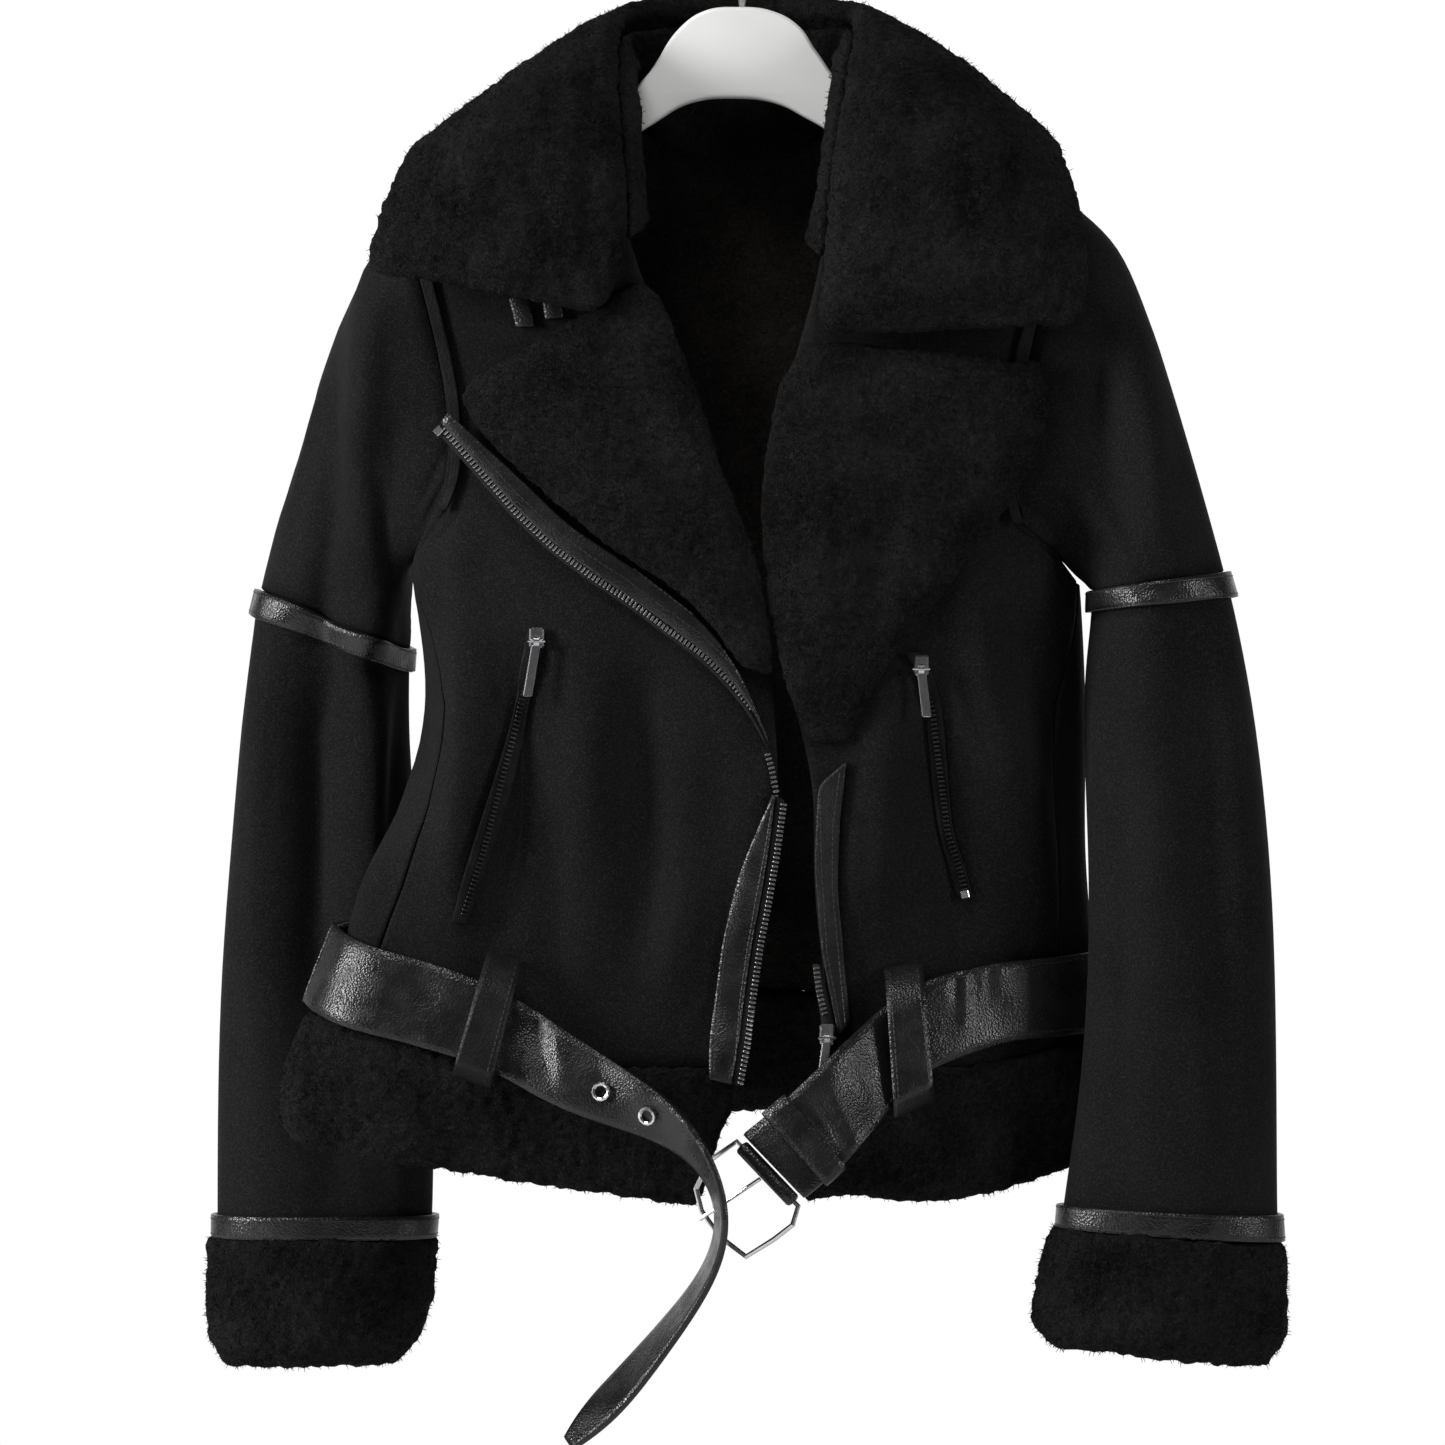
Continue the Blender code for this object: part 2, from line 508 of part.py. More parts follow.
def build_hem():
    """The turned-up fur along the hem, rounded at its edges."""
    low, high = (HEM_TOP_FRONT, HEM_TOP_BACK), (HEM_FRONT, HEM_BACK)
    levels = np.array((0.0, 0.08, 0.35, 0.62, 0.88, 1.0))
    keep = np.array((0.75, 1.0, 1.0, 1.0, 0.85, 0.4))[:, None]
    sides = ("first_row", "first_column", "last_column")
    for name, first, edge, columns in (
        ("hem_fur_right", -90.0, FRONT_EDGE_RIGHT, 15), ("hem_fur_left", 90.0, FRONT_EDGE_LEFT, 12),
        ("hem_fur_back", -90.0, None, 24),
    ):
        share = np.linspace(0, 1, columns)
        if edge is None:
            angles = np.repeat((-90.0 - 180.0 * share)[None], len(levels), axis=0)
        else:
            end = np.array([float(turn_at(line_by_z(edge, z), z)) for z in -641 - 70 * levels])
            angles = first * (1 - share) + end[:, None] * share
        middle = HEM_OUT - FUR / 2
        body_panel(name, low, high, angles, levels, middle + FUR / 2 * keep, FUR * keep, "fur", sides, 1.0)


def build_lapels():
    for name, rows, tip in (("revers_right", LAPEL_RIGHT, 10.0), ("revers_left", LAPEL_LEFT, 9.0)):
        table = named(LAPEL_COLUMNS, rows)
        count = np.linspace(0, len(rows) - 1, 12)
        at = np.arange(len(rows))
        roll = np.stack([np.interp(count, at, table["roll_x"]), np.interp(count, at, table["roll_z"])], -1)
        edge = np.stack([np.interp(count, at, table["edge_x"]), np.interp(count, at, table["edge_z"])], -1)
        share = np.linspace(0, 1, 8)[None, :, None]
        flat = roll[:, None] * (1 - share) + edge[:, None] * share
        lift = 0.6 + tip * share[..., 0] ** 2 * np.clip(1 - count[:, None] / 9, 0, 1)
        under = np.stack([flat[..., 0], front_y(flat[..., 0], flat[..., 1]) - lift, flat[..., 1]], -1)
        ends = np.minimum(1, 0.55 + 3 * np.minimum(count, count[-1] - count) / count[-1])[:, None]
        puff = (0.5 + 0.5 * np.sin(np.pi * np.clip(share[..., 0], 0.0, 1.0)) ** 0.4) * ends
        top = under.copy()
        top[..., 1] -= FUR * puff
        wall(name, top, under, "fur")


def build_collar():
    table = np.array(COLLAR, float)
    at = np.linspace(0, len(COLLAR) - 1, 37)
    lines_of = []
    for part in range(4):
        lines = [np.interp(at, np.arange(len(COLLAR)), table[:, part, axis]) for axis in range(3)]
        smooth = np.stack(lines, -1)
        for _ in range(2):
            smooth[1:-1] = (smooth[:-2] + 2 * smooth[1:-1] + smooth[2:]) / 4
        lines_of.append(smooth)
    seam, roll, middle, edge = lines_of
    lip = roll + (seam - roll) / np.linalg.norm(seam - roll, axis=1, keepdims=True) * 9
    inward = seam - edge
    inward[:, 2] = 0
    inward /= np.linalg.norm(inward, axis=1, keepdims=True)
    lip = lip + inward * 3
    rows = [lip, roll + (inward * 1.0)]
    for share in (0.18, 0.36, 0.55, 0.75, 0.92, 1.0):
        rows.append(roll * (1 - share) ** 2 + 2 * share * (1 - share) * (2 * middle - (roll + edge) / 2) + edge * share ** 2)
    grid = np.array(rows).transpose(1, 0, 2)
    centre = np.array([NECK_MID_X, 0, -170.0])
    square = normals(grid)
    square = square * np.sign((square * (grid - centre)).sum())
    thick = np.full(grid.shape[:2], FUR)
    thick[:, 0] = 5.0
    thick[:, -1] = 6.0
    thick[0] *= 0.7
    thick[-1] *= 0.7
    inner = grid - square * thick[..., None]
    wall("collar", grid, inner, "fur")
    stand_top = lip + (seam - lip) * 0.06
    rows = [stand_top * (1 - share) + seam * share for share in np.linspace(0.06, 1, 3)]
    stand = np.array(rows).transpose(1, 0, 2)[3:-2]
    facing = normals(stand)
    to_axis = np.array([NECK_MID_X, 0, 0]) - stand
    to_axis[..., 2] = 0
    facing = facing * np.sign((facing * to_axis).sum())
    wall("collar_stand", stand + facing * 2, stand - facing * 3, "fur")


def armhole_ring(front, back, pit):
    """An armhole's edge as a ring of points: from the ridge down the front, through the armpit and up the back."""
    ring_points = np.concatenate([front[::-1], pit[None], back[:-1]])
    between = (ring_points + np.roll(ring_points, -1, axis=0)) / 2
    return np.stack([ring_points, between], axis=1).reshape(-1, 3)


def sleeve_grids(rows, edges, side):
    """Outside and inside of a sleeve: the armhole's own edge first, then the table's ovals, with the soft folds."""
    low = (HEM_TOP_FRONT, HEM_TOP_BACK)
    pit_angle, pit_level = np.array(side * 89.0), np.array(1.06)
    pit = body_point(pit_angle, pit_level, low)
    pit_in = pit - body_square(pit_angle, pit_level, low) * SKIN
    (front_out, front_in), (back_out, back_in) = edges
    loop = armhole_ring(front_out, back_out, pit)
    loop_in = armhole_ring(front_in, back_in, pit_in)
    turns = np.arange(len(loop)) / len(loop)
    angle = turns * 2 * math.pi
    cos = np.sign(np.cos(angle)) * np.abs(np.cos(angle)) ** 0.9
    sin = np.sign(np.sin(angle)) * np.abs(np.sin(angle)) ** 0.9
    grid = [loop]
    for outer_x, outer_z, inner_x, inner_z, mid_y, half in rows:
        mid = np.array([(outer_x + inner_x) / 2, mid_y, (outer_z + inner_z) / 2])
        reach = np.array([(outer_x - inner_x) / 2, 0, (outer_z - inner_z) / 2])
        grid.append(mid + cos[:, None] * reach - sin[:, None] * np.array([0, half, 0]))
    grid = np.array(grid)
    square = normals(grid, wrap=True)
    square = square * np.sign((square * (grid - grid.mean(axis=1, keepdims=True))).sum())
    push = np.zeros(grid.shape[:2])
    for row, place, reach, height in FOLDS_SLEEVE:
        near = np.exp(-(((np.arange(len(grid))[:, None] - row) / reach) ** 2))
        round_it = np.abs((turns[None, :] - place + 0.5) % 1 - 0.5)
        push += height * near * np.exp(-((round_it / 0.055) ** 2))
    push[0] = 0
    push[1] *= 0.4
    outer = grid + square * push[..., None]
    inner = outer - square * SKIN
    inner[0] = loop_in
    return outer, inner, square


def build_sleeves(edges):
    for name, rows, side, cuff_rows in (
        ("right", SLEEVE_RIGHT, -1, CUFF_RIGHT), ("left", SLEEVE_LEFT, 1, CUFF_LEFT),
    ):
        outer, inner, square = sleeve_grids(rows, edges[name], side)
        split = ELBOW_ROW + 2
        sleeve_part(f"sleeve_upper_{name}", outer[:split], inner[:split])
        sleeve_part(f"sleeve_lower_{name}", outer[split - 1 :], inner[split - 1 :])
        band(f"elbow_band_{name}", outer, square, ELBOW_ROW + 1, LEATHER)
        band(f"wrist_strip_{name}", outer, square, WRIST_ROW + 1, LEATHER)
        cuff(f"cuff_{name}", len(outer[0]), cuff_rows)


def sleeve_part(name, outer, inner):
    """A tube of the sleeve, drawn in a little at both ends."""
    ends = ("first_row", "last_row")
    wall(name, trimmed(outer, ends, SEAM / 2 + 0.1), trimmed(inner, ends, SEAM / 2 + 0.1), "suede", wrap=True)


def band(name, grid, square, row, thick):
    """A flat leather ring round the sleeve, over the seam between two of its rings."""
    out = REST + 0.3
    outer = grid[row : row + 2] + square[row : row + 2] * (out + thick)
    inner = grid[row : row + 2] + square[row : row + 2] * out
    wall(name, outer, inner, "leather", wrap=True)


def cuff(name, points, rows):
    """The turned-up fur of the sleeve end, rounded at both edges."""
    angle = np.arange(points) / points * 2 * math.pi
    grid = []
    for outer_x, outer_z, inner_x, inner_z, mid_y, half in rows:
        mid = np.array([(outer_x + inner_x) / 2, mid_y, (outer_z + inner_z) / 2])
        reach = np.array([(outer_x - inner_x) / 2, 0, (outer_z - inner_z) / 2])
        grid.append(mid + np.cos(angle)[:, None] * reach - np.sin(angle)[:, None] * np.array([0, half, 0]))
    grid = np.array(grid)
    centre = grid.mean(axis=1, keepdims=True)
    inward = centre - grid
    inward[..., 2] = 0
    inward /= np.linalg.norm(inward, axis=-1, keepdims=True)
    thick = np.array([7.0, FUR, FUR, 6.0])[:, None, None]
    wall(name, grid, grid + inward * thick, "fur", wrap=True)


def toward(a, b, by):
    """Line a moved towards line b, both even along their length."""
    a, b = resample(a, 24), resample(b, 24)
    step = b - a
    return a + step / np.maximum(np.linalg.norm(step, axis=1, keepdims=True), 1e-6) * by


def build_zip():
    tape = 5.0
    lying_strip("zip_strip_right_upper", toward(STRIP_UPPER, ZIP_UPPER, 1.0), toward(ZIP_UPPER, STRIP_UPPER, tape),
                18, 4, 0.7, 6.0, "leather", 1.0, tip_y)
    lying_strip("zip_tape_right_upper", toward(ZIP_UPPER, STRIP_UPPER, tape - SEAM), ZIP_UPPER,
                18, 2, 1.8, 2.0, "tape", 0.0, tip_y)
    lying_strip("zip_strip_right_lower", STRIP_LOWER, toward(ZIP_LOWER, STRIP_LOWER, tape), 16, 4, 1.6, LEATHER,
                "leather", 1.2, over_hem)
    lying_strip("zip_tape_right_lower", toward(ZIP_LOWER, STRIP_LOWER, tape - SEAM), ZIP_LOWER, 16, 2, 1.6, 2.0,
                "tape", 0.0, over_hem)
    lying_strip("front_strip_left", EDGE_LEFT_INNER, EDGE_LEFT_OUTER, 14, 4, 1.2, LEATHER, "leather", 1.2)
    lying_strip("zip_tape_left", TAPE_LEFT, TAPE_LEFT_OUTER, 8, 2, 0.9, 2.0, "tape")


def over_hem(x, z):
    """The front, and further down the turned-up fur that stands in front of it."""
    return front_y(x, z) - (HEM_OUT + 1.5) * np.clip((-606.0 - z) / 26.0, 0, 1)


def tip_y(x, z):
    """The front under the turned-out right corner, where it stands off towards its tip."""
    stand_off = 10.0 * np.clip((-60.0 - x) / 100.0, 0, 1) ** 1.3
    return front_y(x, z) - stand_off


def band_edge(angles, heights, out):
    """Points round the body at given heights, moved out from it."""
    points = []
    for angle, height in zip(angles, heights):
        level_line = ((-300, height), (300, height))
        low = (level_line, level_line)
        high = (((-300, height + 50), (300, height + 50)),) * 2
        at = np.array(float(angle))
        points.append(body_point(at, np.array(0.0), low, high) + body_square(at, np.array(0.3), low, high) * out)
    return np.array(points)


def eased(points, count):
    """Even points along a line, its corners softened."""
    whole = resample(points, count)
    for _ in range(2):
        whole[1:-1] = (whole[:-2] + 2 * whole[1:-1] + whole[2:]) / 4
    return whole


def build_belt():
    """The strap in three stretches, round the back and along each front, with its loops and fastening."""
    out = 6.0
    angles = np.linspace(-90, -270, 23)
    top = np.interp(angles, (-270, -180, -90), (-577, -552, -566))
    strap("belt_back", band_edge(angles, top, out), band_edge(angles, top - 43, out), (0, 1, 0))
    straps = {}
    for name, side, heights, columns in (
        ("belt_tail_side", -1, ((-566, -608), (-583, -628)), STRAP_TAIL),
        ("belt_buckle_side", 1, ((-577, -620), (-583, -627)), STRAP_BUCKLE),
    ):
        angles = side * np.array((90, 84, 78, 72, 66, 60, 54, 48, 42))
        share = (90 - np.abs(angles)) / 48
        free = named(STRAP_COLUMNS, columns)
        edges = []
        for k, edge in enumerate(("top", "low")):
            on_body = band_edge(angles, heights[0][k] * (1 - share) + heights[1][k] * share, out)
            loose = np.stack([free[f"{edge}_x"], free[f"{edge}_y"], free[f"{edge}_z"]], -1)
            edges.append(eased(np.concatenate([on_body, loose]), STRAP_STEPS))
        straps[name] = strap(name, *edges, (0, -1, 0))
    for name, corners in (("belt_loop_right", LOOP_RIGHT), ("belt_loop_left", LOOP_LEFT)):
        belt_loop(name, corners)
    for name, angle in zip(("belt_loop_back_right", "belt_loop_back_left"), LOOP_BACK_ANGLES):
        back_loop(name, angle)
    keeper(straps["belt_buckle_side"])
    buckle()
    for name, at in zip(("eyelet_outer", "eyelet_inner"), EYELETS):
        eyelet(name, at, straps["belt_tail_side"])


def strap(name, top, low, facing):
    """A flat strap between its two edges. Gives its underside and the direction that it faces."""
    grid = np.stack([top, (top + low) / 2, low], axis=1)
    square = normals(grid)
    square = square * np.sign((square[1] * np.array(facing)).sum() or 1)
    ends = ("first_row", "last_row")
    wall(name, trimmed(grid + square * STRAP, ends), trimmed(grid, ends), "leather")
    return grid, square


def belt_loop(name, corners):
    """A leather loop sewn above the strap, bridging it and turning in below it."""
    left = resample((corners[0], corners[3]), 9)
    right = resample((corners[1], corners[2]), 9)
    flat = np.stack([left, (left + right) / 2, right], axis=1)
    stand_off = np.array((0.8, 13.0, 19.5, 21.5, 22.0, 22.5, 23.5, 24.5, 11.5))[:, None]
    under = np.stack([flat[..., 0], front_y(flat[..., 0], flat[..., 1]) - stand_off, flat[..., 1]], -1)
    top = under - np.array([0, LEATHER, 0])
    wall(name, top, under, "leather")


def back_loop(name, angle):
    half = math.degrees(LOOP_WIDE / 2 / 150)
    middle = float(np.interp(-abs(angle), (-180, -90), (-552, -568)))
    heights = middle + np.array((9, 4, -1, -12, -24, -36, -47, -53, -58))
    outs = (1.4, 8.0, 12.0, 12.0, 12.0, 12.0, 12.0, 9.5, 6.5)
    rows = [band_edge((angle - half, angle, angle + half), [z] * 3, out) for z, out in zip(heights, outs)]
    grid = np.array(rows)
    wall(name, grid + np.array([0, LEATHER, 0]), grid, "leather")


def keeper(laid):
    """A narrow leather band round the strap, next to the buckle."""
    grid, square = laid
    rows = []
    for share in KEEPER_AT:
        at = share * (len(grid) - 1)
        i = int(at)
        top, low = (grid[i, k] * (1 - at + i) + grid[i + 1, k] * (at - i) for k in (0, 2))
        face = square[i, 1]
        wide = (top - low) / np.linalg.norm(top - low)
        rows.append((top, low, face, wide))

    def turn_round(by):
        ring_rows = []
        for top, low, face, wide in rows:
            over, under = face * (STRAP + by), -face * by
            ring_rows.append([top + wide * by + under, top + wide * by + over, (top + low) / 2 + over,
                              low - wide * by + over, low - wide * by + under, (top + low) / 2 + under])
        return np.array(ring_rows)

    wall("belt_keeper", turn_round(REST + 2.0), turn_round(REST), "leather", wrap=True)


def wire(name, points, radius, finish, closed_loop=False, resolution=2):
    curve = bpy.data.curves.new(name, "CURVE")
    curve.dimensions = "3D"
    curve.bevel_depth = radius * MM
    curve.bevel_resolution = resolution
    curve.use_fill_caps = not closed_loop
    spline = curve.splines.new("POLY")
    spline.points.add(len(points) - 1)
    for point, place in zip(spline.points, points):
        point.co = (*(np.array(place) * MM), 1)
    spline.use_cyclic_u = closed_loop
    return piece(name, curve, finish)


def buckle():
    """The wire frame with its bar in the end of the strap, and the prong that lies on it."""
    bar = resample(BUCKLE_BAR, 3)
    wire("buckle_frame", [*bar, *BUCKLE_BOW], BUCKLE_WIRE, "metal", closed_loop=True)
    axis = bar[-1] - bar[0]
    axis = axis / np.linalg.norm(axis)
    start, end = bar[0] + axis * 4.0, bar[-1] - axis * 4.0
    across = np.cross(axis, (0, 1, 0))
    across /= np.linalg.norm(across)
    other = np.cross(axis, across)
    turns = np.arange(10) / 10 * 2 * math.pi
    spokes = np.cos(turns)[:, None] * across + np.sin(turns)[:, None] * other
    rings = [[place + spokes * radius for place in (start, end)] for radius in (BUCKLE_WIRE + 2.9, BUCKLE_WIRE + 0.4)]
    wall("belt_end_wrap", np.array(rings[0]), np.array(rings[1]), "leather", wrap=True)
    wire("buckle_prong", PRONG, 1.1, "metal")


def eyelet(name, at, laid):
    """A metal ring on the strap."""
    grid, square = laid
    middle = grid[:, 1]
    i = int(np.argmin(np.hypot(middle[:, 0] - at[0], middle[:, 2] - at[1])))
    face = square[i, 1]
    along = middle[i + 1] - middle[i - 1]
    along /= np.linalg.norm(along)
    across = np.cross(face, along)
    centre = middle[i] + face * (STRAP + EYELET_WIRE + 0.35)
    turns = np.arange(12) / 12 * 2 * math.pi
    points = centre + EYELET_RADIUS * (np.cos(turns)[:, None] * along + np.sin(turns)[:, None] * across)
    wire(name, points, EYELET_WIRE, "metal", closed_loop=True, resolution=1)


def build_sliders():
    """Each zip slider with its bridge, and the pull tab that hangs on it."""
    for name, x, z, lift, long, lean in SLIDERS:
        y = float(front_y(x, z)) - lift
        wide, deep, tall = SLIDER
        body = bmesh.new()
        bmesh.ops.create_cube(body, size=1.0)
        bmesh.ops.scale(body, vec=(wide * MM, deep * MM, tall * MM), verts=body.verts)
        bmesh.ops.bevel(body, geom=body.edges[:], offset=0.9 * MM, segments=1, affect="EDGES", profile=0.5)
        bmesh.ops.translate(body, vec=(x * MM, (y - deep / 2) * MM, (z + 2.0) * MM), verts=body.verts)
        mesh = bpy.data.meshes.new(f"{name}_slider")
        body.to_mesh(mesh)
        body.free()
        slider = piece(f"{name}_slider", mesh, "metal")
        pin_y = y - deep - PULL_EYE - PIN_PLAY
        pin = wire(f"{name}_bridge", ((x - 4.2, y - deep + 0.6, z), (x - 4.2, pin_y, z), (x + 4.2, pin_y, z),
                                     (x + 4.2, y - deep + 0.6, z)), PIN, "metal")
        joined_to(slider, pin)
        pull_tab(f"{name}_pull", x, pin_y, z, long, lean)


def joined_to(target, extra):
    """Makes one solid of a piece and a wire on it."""
    bpy.context.view_layer.update()
    graph = bpy.context.evaluated_depsgraph_get()
    mesh = bpy.data.meshes.new_from_object(extra.evaluated_get(graph))
    shape = bmesh.new()
    shape.from_mesh(mesh)
    bmesh.ops.remove_doubles(shape, verts=shape.verts, dist=0.00001)
    shape.to_mesh(mesh)
    shape.free()
    cutter = bpy.data.objects.new(f"{extra.name}_part", mesh)
    helpers.objects.link(cutter)
    cutter.hide_render = True
    cutter.display_type = "WIRE"
    bpy.data.objects.remove(extra)
    union = target.modifiers.new("bridge", "BOOLEAN")
    union.operation = "UNION"
    union.object = cutter


def pull_tab(name, x, y, z, long, lean):
    """A flat tab with a round eye at its top, hanging from the slider's bridge."""
    wide, thick = PULL
    turns = np.arange(16) / 16 * 2 * math.pi
    eye_out, eye_in = PULL_EYE, PIN + PIN_PLAY
    side = np.stack([np.cos(turns), np.sin(turns)], -1)
    half = 1.5
    grid = [[(x + at, y + p[0] * radius, z + p[1] * radius) for p in side]
            for radius, at in ((eye_out, -half), (eye_out, half))]
    grid_in = [[(x + at, y + p[0] * eye_in, z + p[1] * eye_in) for p in side] for at in (-half, half)]
    eye = wall(name, np.array(grid), np.array(grid_in), "metal", wrap=True, origin=(x, y, z))
    tab = bmesh.new()
    bmesh.ops.create_cube(tab, size=1.0)
    bmesh.ops.scale(tab, vec=(wide * MM, thick * MM, (long - 2.0) * MM), verts=tab.verts)
    bmesh.ops.bevel(tab, geom=tab.edges[:], offset=0.5 * MM, segments=1, affect="EDGES", profile=0.5)
    for vert in tab.verts:
        vert.co.x += lean * MM * (0.5 - vert.co.z / (long * MM))
    bmesh.ops.translate(tab, vec=(x * MM, y * MM, (z - 2.0 - (long - 2.0) / 2) * MM), verts=tab.verts)
    mesh = bpy.data.meshes.new(f"{name}_tab")
    tab.to_mesh(mesh)
    tab.free()
    helper = bpy.data.objects.new(f"{name}_tab", mesh)
    helpers.objects.link(helper)
    helper.hide_render = True
    helper.display_type = "WIRE"
    union = eye.modifiers.new("tab", "BOOLEAN")
    union.operation = "UNION"
    union.object = helper


def build_pockets():
    for name, points in (("pocket_zip_right", POCKET_RIGHT), ("pocket_zip_left", POCKET_LEFT)):
        middle = resample(points, 14)
        shift = np.array([POCKET_WIDE / 2, 0.0])
        lying_strip(name, middle - shift, middle + shift, 14, 3, 1.8, 2.0, "leather")


def build_armhole_strips():
    """Leather over each armhole seam, from low on the front over the shoulder to low on the back."""
    low = (HEM_TOP_FRONT, HEM_TOP_BACK)
    for name, side, armhole in (("right", -1, ARMHOLE_RIGHT), ("left", 1, ARMHOLE_LEFT)):
        rows = np.array(UPPER_ROWS)
        rows = np.sort(np.concatenate([rows, (rows[1:] + rows[:-1]) / 2]))
        levels = np.concatenate([rows, rows[::-1]])
        back = np.arange(len(levels)) >= len(rows)
        edge = np.where(back, angle_on_line(levels, armhole, low[1]), angle_on_line(levels, armhole, low[0]))
        edge = np.where(back, side * 180 - edge, edge)
        grid_angles = []
        for inward in (1.0, ARMHOLE_STRIP / 2, ARMHOLE_STRIP):
            step = np.degrees(inward / 170.0) * side * np.where(back, -1, 1)
            grid_angles.append(edge - step)
        angles = np.array(grid_angles)
        level = np.repeat(levels[None], 3, axis=0)
        grid = body_point(angles, level, low)
        square = body_square(angles, level, low)
        wall(f"armhole_strip_{name}", grid + square * 3.0, grid + square * 0.9, "leather")


def build_throat():
    for name, corners in zip(("throat_tab_outer", "throat_tab_inner"), THROAT_TABS):
        lying_strip(name, (corners[0], corners[3]), (corners[1], corners[2]), 5, 3, 0.6, LEATHER, "leather", 1.0)


def build_hanger():
    """A flat plastic hanger under the shoulders, and the wire hook in its crown."""
    ends = []
    for side in (-1, 1):
        x = NECK_MID_X + side * HANGER_REACH
        ends.append((x, float(shoulder_z(x)) - SKIN - 2.4))
    right, left = ends
    outline = [left, *HANGER_TOP, right, (right[0] + 4, right[1] - HANGER_END), *HANGER_LOW,
               (left[0] - 4, left[1] - HANGER_END)]
    curve = bpy.data.curves.new("hanger", "CURVE")
    curve.dimensions = "2D"
    curve.fill_mode = "BOTH"
    curve.extrude = HANGER_THICK / 2 * MM
    spline = curve.splines.new("POLY")
    spline.points.add(len(outline) - 1)
    for point, (x, z) in zip(spline.points, outline):
        point.co = (x * MM, z * MM, 0, 1)
    spline.use_cyclic_u = True
    made = piece("hanger", curve, "plastic")
    made.rotation_euler = (math.radians(90), 0, 0)
    radius = HOOK_INNER + HOOK_WIRE
    path = [(0, 0, HANGER_TOP[4][1] + 0.3), (0, 0, -52), (1, 0, -46)]
    for degrees in range(-60, 201, 20):
        angle = math.radians(degrees)
        path.append((radius * math.cos(angle), 0, -HOOK_INNER + radius * math.sin(angle)))
    wire("hanger_hook", path, HOOK_WIRE, "metal")


for old in list(bpy.data.objects):
    bpy.data.objects.remove(old)
collection = bpy.data.collections.new("Sheepskin flying jacket on a hanger")
bpy.context.scene.collection.children.link(collection)
helpers = bpy.data.collections.new("Joined helpers")
bpy.context.scene.collection.children.link(helpers)

armholes = build_body()
build_hem()
build_lapels()
build_collar()
build_sleeves(armholes)
build_zip()
build_pockets()
build_armhole_strips()
build_throat()
build_belt()
build_sliders()
build_hanger()
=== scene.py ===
# %% [markdown]
# # A sheepskin flying jacket on a hanger
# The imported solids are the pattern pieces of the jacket: each cut and sewn piece is a closed wall. They
# already have the size, the hang and the largest folds. This lesson gives them what a solid cannot carry
# well: soft creases, nap, clipped fur, grained leather, zip teeth and stitches. We load the solids first,
# because every piece is fitted to one of them.
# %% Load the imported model
import math

import bmesh
import bpy
import numpy as np
from mathutils import Matrix, Vector, noise
from mathutils.bvhtree import BVHTree


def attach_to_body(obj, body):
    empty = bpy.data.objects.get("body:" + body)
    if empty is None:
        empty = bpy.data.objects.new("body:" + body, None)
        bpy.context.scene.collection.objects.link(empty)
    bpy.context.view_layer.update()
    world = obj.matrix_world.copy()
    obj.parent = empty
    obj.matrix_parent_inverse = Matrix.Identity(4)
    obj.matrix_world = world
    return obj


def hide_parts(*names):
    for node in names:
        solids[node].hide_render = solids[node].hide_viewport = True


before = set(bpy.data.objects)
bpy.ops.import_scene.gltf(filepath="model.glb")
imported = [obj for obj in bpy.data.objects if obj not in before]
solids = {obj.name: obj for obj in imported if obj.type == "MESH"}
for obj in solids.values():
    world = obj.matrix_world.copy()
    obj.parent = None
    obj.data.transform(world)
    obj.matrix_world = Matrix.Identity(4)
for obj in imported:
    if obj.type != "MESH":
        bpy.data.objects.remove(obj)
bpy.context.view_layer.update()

# %% [markdown]
# ## How a finish is built
# Every finish here is a Principled shader with a few procedural nodes in front of it. A noise read from
# Object coordinates stays fixed to the cloth, at a scale given in repeats per metre. One helper adds a node
# and sets its values, another joins two sockets, and a third turns any patterns into bumps, one on top of
# the other, each of a given depth.
# %% Helpers for finishes
def add_node(made, kind, settings=(), **values):
    node = made.node_tree.nodes.new(kind)
    for name, value in values.items():
        setattr(node, name, value)
    for name, value in dict(settings).items():
        node.inputs[name].default_value = value
    return node


def join(made, out_socket, in_socket):
    made.node_tree.links.new(out_socket, in_socket)


def new_finish(name, roughness, metallic=0.0, **sockets):
    made = bpy.data.materials.new(name)
    made.use_nodes = True
    shader = made.node_tree.nodes["Principled BSDF"]
    shader.inputs["Roughness"].default_value = roughness
    shader.inputs["Metallic"].default_value = metallic
    for socket, value in sockets.items():
        shader.inputs[socket.replace("_", " ")].default_value = value
    places = add_node(made, "ShaderNodeTexCoord").outputs["Object"]
    return made, shader, places


def pattern(made, places, scale, detail=3.0, distortion=0.0, stretch=(1, 1, 1)):
    """A noise of so many repeats a metre, drawn out along an axis by stretch."""
    turned = add_node(made, "ShaderNodeMapping", {"Scale": stretch})
    join(made, places, turned.inputs["Vector"])
    texture = add_node(made, "ShaderNodeTexNoise", {"Scale": scale, "Detail": detail, "Distortion": distortion})
    join(made, turned.outputs["Vector"], texture.inputs["Vector"])
    return texture.outputs["Fac"]


def cells(made, places, scale, feature="F1"):
    texture = add_node(made, "ShaderNodeTexVoronoi", {"Scale": scale}, feature=feature)
    join(made, places, texture.inputs["Vector"])
    return texture.outputs["Distance"]


def two_tones(made, value, low, dark, high, light):
    ramp = add_node(made, "ShaderNodeValToRGB")
    ramp.color_ramp.elements[0].position = low
    ramp.color_ramp.elements[0].color = (*dark, 1)
    ramp.color_ramp.elements[1].position = high
    ramp.color_ramp.elements[1].color = (*light, 1)
    join(made, value, ramp.inputs["Fac"])
    return ramp.outputs["Color"]


